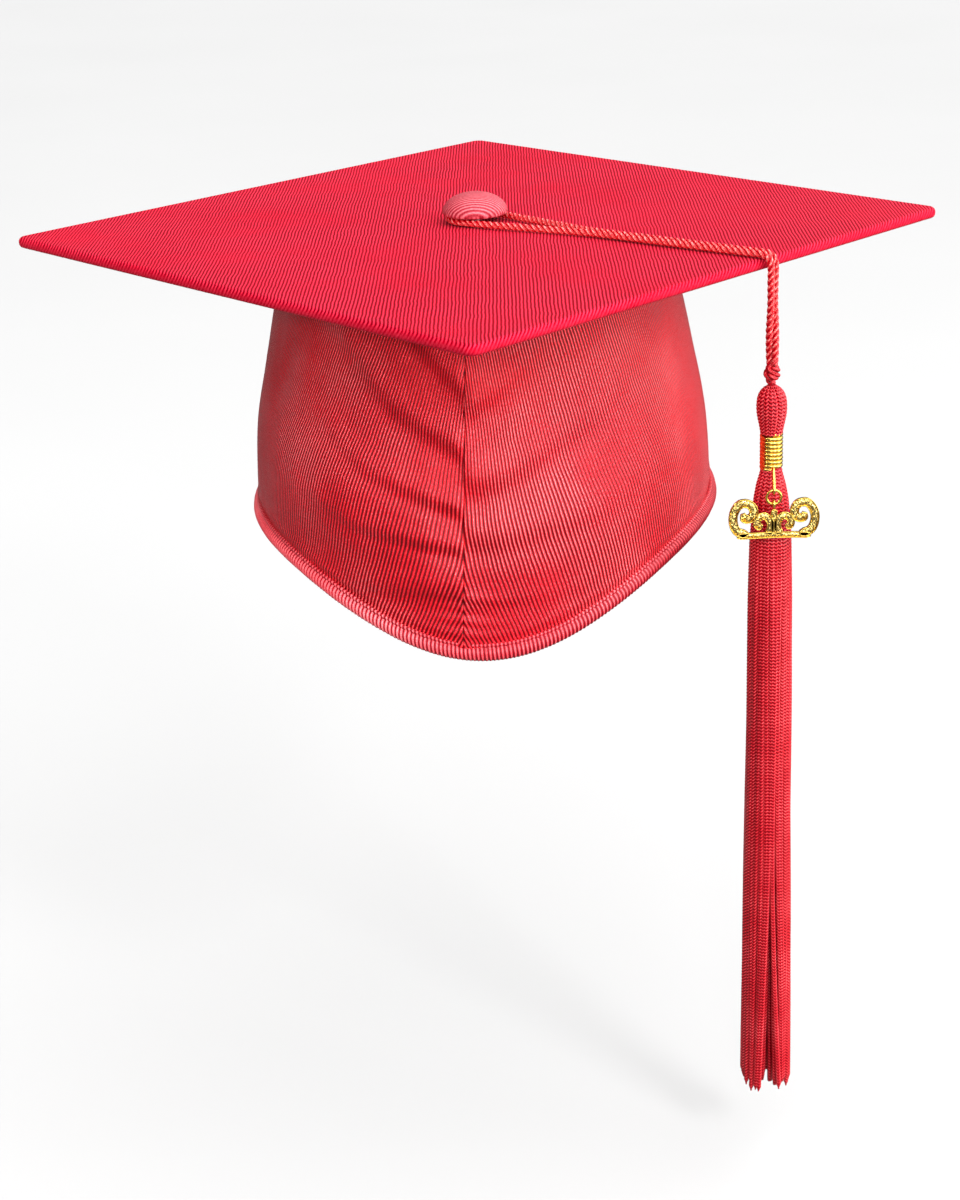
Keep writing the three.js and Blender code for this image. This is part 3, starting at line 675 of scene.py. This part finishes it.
def cord():
    route = cord_route()
    path = smooth_path(route, 0.5)
    piece = make("cord", plies(path, CORD_RADIUS, 3, 7.2), cord_rayon, None)
    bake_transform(piece)
    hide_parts("cord_run", "cord_drop_near", "cord_drop_far")


camera()
stage()
cord()


# ---- Board ----


def square_ring(inset, z, side_points=36, corner_points=9):
    """Points round the board, a rounded square with its corners on the X and Y axes."""
    half = BOARD_HALF - inset
    corner = max(CORNER_RADIUS - inset, 0.4 * half / BOARD_HALF)
    out = (half - corner) * math.sqrt(2)

    def point(axis, angle):
        return np.array([out * math.cos(axis) + corner * math.cos(angle),
                         out * math.sin(axis) + corner * math.sin(angle), z])
    ring = []
    for quarter in range(4):
        axis = quarter * math.pi / 2
        following = axis + math.pi / 2
        ring += [point(axis, axis + (step / (corner_points - 1) - 0.5) * math.pi / 2)
                 for step in range(corner_points)]
        last, first = ring[-1], point(following, following - math.pi / 4)
        ring += [last + (first - last) * step / side_points for step in range(1, side_points)]
    return np.array(ring)


def soft_noise(x, y, scale, seed, octaves=3):
    """Smooth bumps between about -1 and 1, as a sum of slow waves in fixed directions."""
    draw = np.random.default_rng(seed)
    total = np.zeros(np.broadcast(x, y).shape)
    for octave in range(octaves):
        for _ in range(4):
            turn, shift = draw.uniform(0, 2 * math.pi, 2)
            rate = 2 * math.pi / scale * 1.8 ** octave * draw.uniform(0.7, 1.3)
            total += np.sin((x * math.cos(turn) + y * math.sin(turn)) * rate + shift) / 1.9 ** octave
    return total / 5


def loft(rings, uv=None, cap=True):
    """A closed solid from rings of points with the same count, with a fan over each end."""
    rings = np.asarray(rings, float)
    rows, cols = rings.shape[:2]
    points = rings.reshape(-1, 3)
    faces = grid_faces(rows, cols, close_rows=not cap, close_cols=True)
    if cap:
        faces.append(list(range(cols)))
        faces.append([(rows - 1) * cols + k for k in reversed(range(cols))])
    return points, faces, points[:, [0, 1]] if uv is None else uv


def board():
    top, low = BOARD_TOP, BOARD_UNDER
    insets = [118, 112, 104] + list(range(96, 4, -4)) + [3.2, 2.6]
    rings = [square_ring(inset, top) for inset in insets]
    quarter = np.radians([0, 18, 36, 54, 72, 90])
    rings += [square_ring(EDGE_ROUND * (1 - math.sin(a)), top - EDGE_ROUND * (1 - math.cos(a))) for a in quarter]
    rings += [square_ring(EDGE_ROUND * (1 - math.cos(a)), low + EDGE_ROUND * (1 - math.sin(a))) for a in quarter]
    rings += [square_ring(inset, low) for inset in (2.6, 8.0)] + [square_ring(8.0, low + 0.8)]
    rings = np.array(rings)
    flat = rings[..., 2] > top - 0.01
    sag = soft_noise(rings[..., 0], rings[..., 1], 60, 3) * 0.12
    edge = np.array([min(inset / 8, 1) for inset in insets] + [0] * (len(rings) - len(insets)))[:, None]
    rings[..., 2] -= np.where(flat, np.abs(sag) * edge, 0)
    points, faces, uv = loft(rings)
    uv = uv + np.stack([0.55 * np.maximum(top - 0.4 - points[:, 2], 0), 0 * points[:, 2]], axis=-1)
    piece = make("board_cloth", [(points, faces, uv)], board_satin, "cap")
    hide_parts("board_top_cover")


def board_underside():
    z0, z1 = BOARD_UNDER - 0.25, BOARD_UNDER + 0.45
    outline = [(60, z1), (8.6, z1), (8.1, z1 - 0.2), (8.1, z0 + 0.2)]
    outline += [(inset, z0) for inset in (8.6, 9.6, 20, 40, 60, 80, 100, 110)]
    rings = [square_ring(inset, z) for inset, z in outline]
    piece = make("board_under_cloth", [loft(rings)], board_satin, "cap")
    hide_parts("board_bottom_cover")


board()
board_underside()


# ---- Skull cap ----


def skull(phi, above, depth):
    """Points of the skull cap: angle from the front in degrees, height above the hem, depth inward.

    The cloth bellies out a little between the hem and the board.
    """
    phi, above, depth = np.broadcast_arrays(np.radians(phi), np.asarray(above, float), np.asarray(depth, float))
    hem = -PEAK_DROP * np.maximum(np.cos(phi), 0) ** PEAK_POWER
    share = np.clip(above / (SKULL_TOP - hem), 0, 1)
    belly = BELLY * np.sin(math.pi * share ** 0.75)
    half_width = HEM_HALF_WIDTH - CROWN_PULL_X * share ** PULL_POWER + belly
    half_depth = HEM_HALF_DEPTH - CROWN_PULL_Y * share ** PULL_POWER + belly
    normal = unit(np.stack([np.sin(phi) / half_width, np.cos(phi) / half_depth], axis=-1))
    x = half_width * np.sin(phi) - depth * normal[..., 0]
    y = -(half_depth * np.cos(phi) - depth * normal[..., 1])
    return np.stack([x, y, hem + above], axis=-1)


def hem_drop(phi):
    return PEAK_DROP * np.maximum(np.cos(np.radians(phi)), 0) ** PEAK_POWER


def arc_from_front(phi):
    """Distance round the hem from the front seam, in mm, at an angle from the front."""
    fine = np.linspace(0, 360, 2881)
    hem = skull(fine, 0, 0)[:, :2]
    return np.sign(phi) * np.interp(np.abs(phi), fine, run_along(hem))


def bell(x, width):
    return np.exp(-(x / width) ** 2)


def leaned(phi, share):
    """Angles round the front turned as the seam leans, share running from the hem to the board."""
    return phi - (SEAM_LEAN_HEM + (SEAM_LEAN_TOP - SEAM_LEAN_HEM) * share) * bell(phi, 42)


# Creases that fan out from the front seam: height at the seam, rise outward, reach, depth and width, in mm.
LEFT_CREASES = ((98, 0.62, 40, 2.6, 6.0), (76, 0.34, 36, 2.8, 5.6), (56, 0.12, 26, 2.2, 4.0),
                (43, -0.12, 22, 1.9, 3.4), (30, -0.4, 40, 2.0, 6.0))
RIGHT_CREASES = ((90, 0.5, 32, 2.0, 6.0), (66, 0.15, 32, 2.1, 6.0), (48, -0.1, 34, 1.6, 5.5),
                 (24, -0.15, 16, 1.4, 3.2))


def front_folds(arc, above, side):
    """How far a front panel stands out: the ridge at the seam, creases fanning from it, puckers and a hem roll."""
    away = np.abs(arc)
    out = 1.7 * np.exp(-away / 5.5) - 0.3 * bell(away, 0.4)
    swag = above - (50 if side < 0 else 44) + 0.12 * away
    out += (5.5 if side < 0 else 3.2) * bell(swag, 22) * np.clip(away / 12, 0, 1) * bell(away - 50, 60)
    out += 0.45 * soft_noise(arc, above * 0.7, 46, 5 + side) * np.clip(away / 8, 0, 1)
    for height, rise, reach, depth, width in (LEFT_CREASES if side < 0 else RIGHT_CREASES):
        line = above - height - rise * away - 0.8 * np.sin(away / 7 + height)
        fade = np.exp(-away / reach) * np.clip(away / 2.5, 0.35, 1)
        out += depth * (bell(line, width) - 0.9 * bell(line + 1.35 * width, 0.8 * width)) * fade
    out += 0.6 * np.sin(above / 4.6 * 2 * math.pi + 0.2 * away) * bell(above - 16, 9) * np.exp(-away / 8)
    out = np.logaddexp(0, 2 * (out + 0.5)) / 2 - 0.5
    return out + 0.35 * bell(above - 9.5, 1.6) - 0.2 * bell(above - 7.2, 1.0)


def back_gathers(phi, above):
    """How far the back panel stands out: gathers drawn up by the elastic, fading upward."""
    from_side = np.clip((phi - SIDE_SEAM) / 10, 0, 1) * np.clip((360 - SIDE_SEAM - phi) / 10, 0, 1)
    uneven = np.radians(phi * 3.1 + 8 * np.sin(np.radians(phi * 7)) + 5 * np.sin(np.radians(phi * 13 + 40)))
    lean = 0.05 * np.sin(uneven * 1.7) * above
    broad = np.sin(uneven * 5.5 + lean) + 0.6 * np.sin(uneven * 2.4 + 1 - lean)
    fine = np.sin(uneven * 12.3 + 0.5 * np.sin(above / 9) + 2.0 * np.sin(uneven * 3.1))
    drawn = bell(above - 12, 5.5)
    lines = bell(above - 6.6, 0.7) + bell(above - 18.5, 0.8)
    out = 1.5 * broad * np.exp(-np.maximum(above - 16, 0) / 42) * (1 - 0.5 * drawn)
    out += 1.25 * fine * np.exp(-np.maximum(above - 19, 0) / 17) - 0.7 * lines
    return from_side * (np.logaddexp(0, 2 * (out + 0.4)) / 2 - 0.4)


def cloth_panel(name, cad, side, start, end, columns, rows=110):
    """A panel of the skull cap between two angles. side is -1 on the left, 1 on the right and 0 at the back."""
    gap = 0.04
    rib_lean = side * RIB_LEAN
    share = np.linspace(0, 1, rows)[:, None]
    phi = leaned(np.linspace(start + gap, end - gap, columns)[None, :], share)
    full = SKULL_TOP + hem_drop(phi)
    above = 1.3 + (full - 1.3) * share
    arc = arc_from_front(phi) - arc_from_front(leaned(0, share))
    tuck = np.clip((full - above) / 6, 0, 1)
    out = (front_folds(arc, above, side) if side else back_gathers(phi, above)) * tuck
    outer = skull(phi, above, -out)
    inner = skull(phi, above, 0.9 - 0.85 * out)
    wander = 1.6 * soft_noise(arc, above, 120, 21, octaves=1)
    wander = wander + 5.5 * np.sin(above / 26 + 0.6) * np.exp(-np.abs(arc) / 24)
    across = arc * math.cos(rib_lean) + above * math.sin(rib_lean) + side * wander
    along = above * math.cos(rib_lean) - arc * math.sin(rib_lean)
    piece = make(name, [shell(outer, inner, np.stack([across, along], axis=-1))], skull_satin, "cap")
    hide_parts(cad)
    return piece


def skull_cap():
    left = cloth_panel("front_left_cloth", "front_left_panel", -1, -SIDE_SEAM, 0, 260)
    right = cloth_panel("front_right_cloth", "front_right_panel", 1, 0, SIDE_SEAM, 260)
    back = cloth_panel("back_cloth", "back_panel", 0, SIDE_SEAM, 360 - SIDE_SEAM, 420)


def hem_binding():
    """Plump binding folded over the hem, with a real rib across it every 1.5 mm."""
    count = 390 * RIB_SAMPLES
    phi = (np.arange(count) / count * 360)[:, None]
    section = np.array([
        (6.1, 0.0), (6.3, -0.7), (6.1, -1.2), (5.6, -1.35), (5.1, -0.9), (4.7, -1.3), (4.2, -2.0), (3.4, -2.5),
        (2.3, -2.7), (1.2, -2.5), (0.3, -1.9), (-0.3, -0.8), (-0.5, 0.6), (-0.35, 2.0), (0.1, 3.2), (0.8, 4.0),
        (2.4, 4.25), (4.2, 4.1), (4.3, 3.5), (1.2, 3.3), (0.95, 1.5), (1.1, -0.1), (4.4, -0.2)])
    face = np.arange(len(section))
    above = section[None, :, 0]
    turn = np.arange(count)[:, None] * 2 * math.pi / RIB_SAMPLES + 0.45 * above
    relief = 0.24 * np.cos(turn) * (face < 15) * np.where((face > 4) & (face < 12), 1.0, 0.25)
    swell = 0.12 * soft_noise(arc_from_front(phi), 0 * phi, 24, 14) * (face < 15)
    points = skull(phi, above + 0 * phi, section[None, :, 1] - relief - swell)
    uv = np.stack([turn / (2 * math.pi) * RIB_PITCH, above * 2 + 0 * turn], axis=-1)
    piece = make("hem_binding_cloth", [loft(points, uv.reshape(-1, 2), cap=False)], binding_satin, "cap")
    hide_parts("hem_binding")


def stitches(name, count, above, depth, radius=0.2):
    """A row of short raised stitches round the skull cap, evenly spaced."""
    length, skull_radius, degrees = 2.2, 92, 57.3
    reach = length / 2 / skull_radius * degrees
    bow = np.array([0.22, -0.02, -0.12, -0.02, 0.22])
    parts = [sweep(skull(phi + np.linspace(-reach, reach, 5), above, depth + bow), circle(radius, 6))
             for phi in np.arange(count) * (360 / count)]
    return make(name, parts, thread_dark, "cap")


skull_cap()
hem_binding()
stitches("hem_stitches", 150, 5.05, -0.95, radius=0.17)


# ---- Inside of the skull cap ----


def inner_layer(name, cad, start, end, low, high, depth, thick, columns, rows, material, slot, waves=0.25, seed=1):
    """A sheet inside the skull cap, between two heights above the hem."""
    share = np.linspace(0, 1, rows)[:, None]
    phi = leaned(np.linspace(start, end, columns)[None, :], low / 130 + (1 - low / 130) * share)
    above = low + (high(phi) - low) * share
    arc = arc_from_front(phi)
    ripple = waves * soft_noise(arc, above, 34, seed) * np.sin(math.pi * share)
    outer = skull(phi, above, depth)
    inner = skull(phi, above, depth + thick + np.abs(ripple))
    piece = make(name, [shell(outer, inner, np.stack([arc, above], axis=-1))], material, "cap")
    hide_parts(cad)
    return piece


def sweatband():
    """Band round the inside of the hem, with a folded and stitched upper edge."""
    phi = (np.arange(480) / 480 * 360)[:, None]
    section = np.array([(1.4, 2.3), (29.6, 2.3), (30, 2.7), (29.8, 3.3), (28.4, 3.5), (27.2, 3.35), (26.6, 3.05),
                        (22, 3.15), (16, 3.25), (10, 3.2), (5, 3.1), (1.4, 3.05)])
    above = section[None, :, 0] + 0 * phi
    ripple = 0.18 * soft_noise(arc_from_front(phi), above, 26, 8) * (np.arange(len(section)) > 2)
    points = skull(phi, above, section[None, :, 1] + np.abs(ripple))
    uv = np.stack([arc_from_front(phi) + 0 * above, above], axis=-1)
    piece = make("sweatband_cloth", [loft(points, uv.reshape(-1, 2), cap=False)], lining_satin, "cap")
    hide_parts("sweatband")
    stitches("sweatband_stitches", 120, 26.4, 3.15)


def crown():
    """Oval of cloth under the board, drawn a little towards its middle."""
    phi = np.arange(240) / 240 * 360
    rim = skull(phi, SKULL_TOP + hem_drop(phi), 2.35)
    middle = np.linspace(1.0, 0.0, 26)[:, None, None]
    length = np.linalg.norm(rim[:, :2], axis=1)[None, :, None]
    flat = rim[None, :, :2] * (middle + (1 - middle) * 14.2 / length)
    z0 = SKULL_TOP - 0.85
    pull = 0.35 * np.sin(math.pi * middle[..., 0]) * (0.6 + 0.4 * np.sin(np.radians(phi * 22))[None])
    under = np.concatenate([flat, (z0 + 0.1 * pull)[..., None]], axis=-1)
    over = np.concatenate([flat, np.full(flat.shape[:2] + (1,), SKULL_TOP)], axis=-1)
    rings = np.concatenate([over, under[::-1]])
    piece = make("crown_cloth", [loft(rings, cap=False)], lining_satin, "cap")
    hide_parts("crown_panel")


def inside():
    def to_top(phi):
        return SKULL_TOP + hem_drop(phi) - 2
    lining = {"low": 1.4, "high": to_top, "depth": 1.2, "thick": 0.75, "columns": 90, "rows": 40,
              "material": buckram, "slot": "lining_cloth"}
    left = inner_layer("left_lining", "left_stiffener", -SIDE_SEAM + 2, -0.15, **lining)
    right = inner_layer("right_lining", "right_stiffener", 0.15, SIDE_SEAM - 2, seed=2, **lining)
    tape = inner_layer("front_seam_tape_cloth", "front_seam_tape", -3.75, 3.75, 30.4, lambda phi: to_top(phi) - 1,
                       2.3, 0.5, 14, 60, lining_satin, "lining_cloth", waves=0.12, seed=3)
    elastic = inner_layer("elastic_band", "back_elastic", SIDE_SEAM + 1, 359 - SIDE_SEAM, 6.0,
                          lambda phi: 18.0 + 0 * phi, 1.2, 0.75, 200, 12, elastic_web, "elastic_web", waves=0.08,
                          seed=4)
    sweatband()
    crown()


inside()


# ---- Button ----


def button():
    """Domed button covered in the same ribbed cloth, gathered under its rim."""
    base, top = BOARD_TOP + 3.1, BOARD_TOP + 11.1
    radius = 12.0
    turn = np.radians(np.linspace(0, 90, 20))
    outline = [(radius * math.sin(a), base + 0.9 + (top - base - 0.9) * math.cos(a)) for a in turn]
    outline += [(11.9, base + 0.5), (11.5, base + 0.15), (10.6, base), (9.4, base), (9.4, base + 0.7),
                (11.0, base + 0.9)]
    outline += [(10.9 * math.sin(a), base + 0.9 + (top - base - 1.9) * math.cos(a)) for a in turn[::-3]]
    outline.append((0.0, top - 1.0))
    outline = np.array(outline)
    segments = 192
    angle = round_angles(segments)
    wobble = 1 + 0.012 * np.sin(angle * 46) * bell(outline[:, 1:] - base - 0.4, 0.9)
    x = outline[:, :1] * np.cos(angle) * wobble
    y = outline[:, :1] * np.sin(angle) * wobble
    z = np.repeat(outline[:, 1:], segments, axis=1)
    rings = np.stack([x, y, z], axis=-1)[1:-1]
    body = rings.reshape(-1, 3)
    faces = grid_faces(len(rings), segments, close_cols=True)
    tip, inner = len(body), len(body) + 1
    last = (len(rings) - 1) * segments
    faces += [[tip, k, (k + 1) % segments] for k in range(segments)]
    faces += [[inner, last + (k + 1) % segments, last + k] for k in range(segments)]
    body = np.vstack([body, [0, 0, top], [0, 0, top - 1.0]])
    uv = np.stack([body[:, 1] + 0.25 * (body[:, 2] - base), body[:, 0]], axis=-1)
    piece = make("button_cloth", [(body, faces, uv)], button_satin, "cap")
    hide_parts("button_cover")


button()


# ---- Tassel ----


def on_axis(radius, angle, depth):
    """Points round the tassel's axis. Angle 0 is +X."""
    radius, angle, depth = np.broadcast_arrays(*(np.asarray(v, float) for v in (radius, angle, depth)))
    return np.stack([TASSEL_AXIS[0] + radius * np.cos(angle), TASSEL_AXIS[1] + radius * np.sin(angle),
                     BOARD_TOP - depth], axis=-1)


def round_solid(outline, segments=32):
    """A solid of revolution about the tassel's axis, from radii and depths, closed with caps."""
    angle = round_angles(segments)
    return loft(np.array([on_axis(radius, angle, depth) for radius, depth in outline]))


def chainette(path, widths, inward, samples, relief):
    """A knitted cord along a path: plump stitches that meet in a V down its outer face."""
    run = run_along(path)
    angle = round_angles(samples)
    outward = np.abs(angle - math.pi)[None]
    stitch = np.cos(2 * math.pi * run[:, None] / CHAIN_PITCH + 3.0 * outward)
    groove = 0.16 * bell(outward, 0.5)
    scale = np.asarray(widths, float)[:, None] / 2 * (1 + relief * stitch - groove)
    section = np.stack([scale * np.cos(angle), scale * np.sin(angle)], axis=-1)
    points, faces, uv = sweep(path, section, start=inward)
    uv = uv.reshape(len(path), samples, 2)
    uv[..., 0] = angle / (2 * math.pi)
    return points, faces, uv


def knot():
    """The cord's two ends drawn together into an overhand knot."""
    def at(out, across, depth):
        return along_cord(DROP_REACH + out, across, depth)
    parts = []
    for side in (1, -1):
        stub = smooth_path([at(side * 0.98, 0, SWAY_DROP - 0.2), at(side * 0.9, 0, KNOT_TOP),
                            at(side * 0.7, 0, KNOT_TOP + 1.4), at(side * 0.5, side * 0.4, KNOT_TOP + 3)], 0.35)
        parts += plies(stub, 1.15, 3, 8.4)
    turn = np.linspace(0, 1, 120) * 2.2 * 2 * math.pi
    share = turn / turn[-1]
    swell = 0.55 + 1.15 * np.sin(math.pi * share) ** 0.6
    wrap = on_axis(swell, turn + 2.4, KNOT_TOP + 0.9 + 4.6 * share + 0.5 * np.sin(turn))
    parts += plies(wrap, 1.3, 3, 6.0)
    tail = smooth_path([at(0.3, 0, KNOT_TOP + 3), at(-0.2, 0, KNOT_TOP + 5), at(0, 0, KNOT_TOP + KNOT_LENGTH)], 0.35)
    parts += plies(tail, 1.3, 3, 7.0)
    parts.append(round_solid([(0.4, KNOT_TOP + 0.9), (1.3, KNOT_TOP + 2), (1.5, KNOT_TOP + 4), (1.2, KNOT_TOP + 6.0),
                              (0.8, KNOT_TOP + KNOT_LENGTH)], 16))
    piece = make("knot", parts, knot_rayon, "knot")
    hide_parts("tassel_knot")


# Depth below the head's top, and radius.
HEAD_SHAPE = np.array([(0, 0.7), (1.0, 2.6), (2.6, 4.2), (4.6, 5.1), (7.2, 5.4), (10.2, 5.3), (13, 4.75),
                       (15.2, 4.3), (17.6, 3.9)])


def head():
    """Folded tops of the strands, side by side over a bulb."""
    strands = 17
    depth = np.arange(0, 17.6, CHAIN_PITCH / 5)
    outer = np.interp(depth, HEAD_SHAPE[:, 0], HEAD_SHAPE[:, 1])
    outer = np.convolve(np.pad(outer, 4, mode="edge"), np.ones(9) / 9, mode="valid")
    parts = []
    for k in range(strands):
        angle = k / strands * 2 * math.pi + 0.05 * math.sin(k * 2.3)
        lean = 0.10 * np.sin(depth / 17 * math.pi)
        widths = np.clip(2 * math.pi * (outer - 0.7) / strands * 1.12, 0.5, 2.0)
        path = on_axis(outer - widths / 2, angle + lean, HEAD_TOP + depth)
        parts.append(chainette(path, widths, [-math.cos(angle), -math.sin(angle), 0], samples=14, relief=0.13))
    core = [(max(radius - 1.0, 0.3), HEAD_TOP + 0.4 + deep * 0.94) for deep, radius in HEAD_SHAPE]
    parts.append(round_solid(core))
    piece = make("tassel_head_strands", parts, tassel_chain, "tassel")
    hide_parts("tassel_head")


def wire_band():
    """Nine turns of gilt wire, the ends tucked in."""
    turns, wire = 9, 0.74
    turn = np.linspace(0, turns * 2 * math.pi, turns * 32)
    share = turn / turn[-1]
    tuck = 0.5 * np.clip(1 - np.minimum(turn, turn[-1] - turn) / 1.2, 0, 1)
    path = on_axis(WIRE_OUTER - wire - tuck, turn - math.pi / 2,
                   NECK_TOP + 0.8 + (NECK_BOTTOM - NECK_TOP - 1.4) * share)
    parts = [sweep(path, circle(wire, 12)), round_solid([(2.9, NECK_TOP - 0.2), (2.95, NECK_BOTTOM + 0.2)])]
    piece = make("wire_band_coil", parts, gilt, "tassel")
    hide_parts("wire_band")


# Depth below the board's top, and radius.
SKIRT_SHAPE = np.array([(73.2, 3.9), (76, 4.5), (80, 5.6), (85, 6.5), (92, 7.2), (100, 7.6), (120, 8.0), (180, 8.6),
                        (250, 9.3), (330, 9.8)])
# Rings of strands: how many, share of the skirt's radius, step along each in mm, and sides of each.
STRAND_RINGS = ((31, 1.0, CHAIN_PITCH / 3, 8), (20, 0.70, 2.5, 6), (11, 0.38, 2.5, 6))


def skirt():
    """The hanging strands: a full outer ring, drawn and clumped a little, over two inner rings."""
    parts = []
    clump = rng.uniform(0, 2 * math.pi, 9)
    for ring, (strands, share, step, sides) in enumerate(STRAND_RINGS):
        for k in range(strands):
            angle = (k + rng.uniform(-0.12, 0.12)) / strands * 2 * math.pi
            end = STRAND_ENDS + rng.uniform(-4.5, 1.2)
            depth = np.arange(NECK_BOTTOM - 0.9, end, step)
            fall = (depth - NECK_BOTTOM) / (STRAND_ENDS - NECK_BOTTOM)
            outer = np.interp(depth, SKIRT_SHAPE[:, 0], SKIRT_SHAPE[:, 1]) * share
            full = 1.78 if ring == 0 else 1.9
            widths = np.minimum(full, 0.62 + 0.32 * outer * 7 / strands ** 0.5)
            nearest = clump[np.argmin(np.abs(np.angle(np.exp(1j * (clump - angle)))))]
            pull = np.angle(np.exp(1j * (nearest - angle))) * 0.35 * np.clip((fall - 0.55) / 0.45, 0, 1) ** 1.5
            drift = 0.05 * np.sin(fall * rng.uniform(3, 7) + rng.uniform(0, 6)) * np.clip(fall * 4, 0, 1)
            wave = 0.22 * np.sin(depth / rng.uniform(18, 34) + rng.uniform(0, 6)) * np.clip(fall * 5, 0, 1)
            layer = 0.55 * (k % 2) * np.clip(1 - fall * 9, 0, 1) if ring == 0 else 0
            radius = outer - widths / 2 + wave - layer - 0.25
            taper = np.clip((end - depth) / 2.2, 0.35, 1)
            path = on_axis(radius, angle + drift + pull, depth)
            inward = [-math.cos(angle), -math.sin(angle), 0]
            parts.append(chainette(path, widths * taper, inward, samples=sides, relief=0.13 if ring == 0 else 0))
    piece = make("tassel_strands", parts, tassel_chain, "tassel")
    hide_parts("tassel_skirt")


# ---- Charm ----


def charm_point(x, out, depth):
    place = np.broadcast_arrays(TASSEL_AXIS[0] + x, TASSEL_AXIS[1] - out, BOARD_TOP - depth)
    return np.stack(place, axis=-1)


def bail():
    """Long wire loop leaning out from the neck."""
    top, bottom = np.array([5.95, 73.2]), np.array([RING_OUT, RING_DEPTH - RING_RADIUS])
    lean = (bottom - top) / np.linalg.norm(bottom - top)
    points = []
    for centre, first in ((bottom, -90), (top, 90)):
        for angle in np.radians(first + np.arange(0, 181, 15)):
            down, side = LINK * math.cos(angle), LINK * math.sin(angle)
            out = centre[0] + lean[0] * down + lean[1] * side
            points.append(charm_point(0, out, centre[1] + lean[1] * down - lean[0] * side))
    path = smooth_path(points, 0.35, closed=True)
    wire = sweep(path, circle(WIRE, 12), closed=True, start=[1, 0, 0])
    piece = make("bail_wire", [wire], gilt, "tassel")
    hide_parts("charm_bail")


def round_wire(centre, radius, wire, plane, segments=64, sides=12):
    """A ring of round wire in the plane of two unit vectors."""
    angle = round_angles(segments)
    first, second = (np.array(v, float) for v in plane)
    path = centre + radius * (np.cos(angle)[:, None] * first + np.sin(angle)[:, None] * second)
    return sweep(path, circle(wire, sides), closed=True, start=np.cross(first, second))


def ring():
    centre = charm_point(0, RING_OUT, RING_DEPTH)
    wire = round_wire(centre, RING_RADIUS, WIRE, ((1, 0, 0), (0, 0, 1)))
    piece = make("split_ring", [wire], gilt, "ring")
    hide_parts("charm_ring")


# Scrollwork, drawn for one side as x and depth; the other side is its mirror.
OUTER_SCROLL = [(9.0, 94.9), (12.6, 93.6), (14.0, 90.4), (13.7, 86.6), (11.4, 83.6), (8.4, 83.9), (7.0, 86.3),
                (7.9, 88.8), (10.0, 89.0), (10.7, 87.3)]
INNER_SCROLL = [(2.1, 94.9), (1.2, 92.6), (1.5, 89.9), (3.4, 88.1), (5.5, 89.2), (5.7, 91.5), (4.2, 92.4)]
BAR = [(-12.6, 95.5), (-4, 95.2), (4, 95.2), (12.6, 95.5)]
STEM = [(0, 86.0), (0, 88.2), (0, 91.0), (0, 94.6)]


def stroke(outline_points, width):
    """A flat stroke of metal: glittering face, polished rim raised round it."""
    flat = smooth_path(outline_points, 0.22)
    path = charm_point(flat[:, 0], PLATE_OUT, flat[:, 1])
    tangent = unit(np.gradient(path, axis=0))
    across = np.cross(tangent, [0, 1.0, 0])
    share = np.linspace(0, 1, len(path))
    half = width / 2 * np.clip(np.minimum(share, 1 - share) * 9 + 0.55, 0, 1)
    front = np.array([0, -PLATE_THICK / 2, 0])
    section = np.stack([np.stack([a * half, np.full(len(path), b * PLATE_THICK / 2)], axis=-1)
                        for a, b in ((1, 1), (1, -1), (-1, -1), (-1, 1))], axis=1)
    body = sweep(path, section, start=across[0])
    left = path + across * half[:, None] + front
    right = path - across * half[:, None] + front
    rim_path = np.vstack([left, right[::-1]])
    rim = sweep(rim_path, circle(0.2, 8), closed=True, start=[0, -1, 0])
    return body, rim


def ornament():
    """Symmetrical scrollwork on a small bar, hanging from an eye on the ring."""
    strokes = [([(side * x, depth) for x, depth in points], width)
               for points, width in ((OUTER_SCROLL, 2.8), (INNER_SCROLL, 2.3)) for side in (1, -1)]
    strokes += [(BAR, 1.9), (STEM, 1.9)]
    plates, rims = zip(*(stroke(points, width) for points, width in strokes))
    eye = round_wire(charm_point(0, RING_OUT, RING_DEPTH + RING_RADIUS), LINK, WIRE, ((0, 1, 0), (0, 0, 1)), 32)
    face = make("ornament_faces", plates, gilt_glitter, "ornament")
    make("ornament_rims", [*rims, eye], gilt, "ornament")
    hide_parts("charm_ornament")


knot()
head()
wire_band()
skirt()
bail()
ring()
ornament()


# ---- CAD nodes that stay ----


for name, material in (("button_pin", steel), ("pin_washer", steel), ("button_shell", ivory_plastic),
                       ("button_back", ivory_plastic), ("board_core", millboard)):
    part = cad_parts[name]
    part.data.materials.clear()
    part.data.materials.append(material)
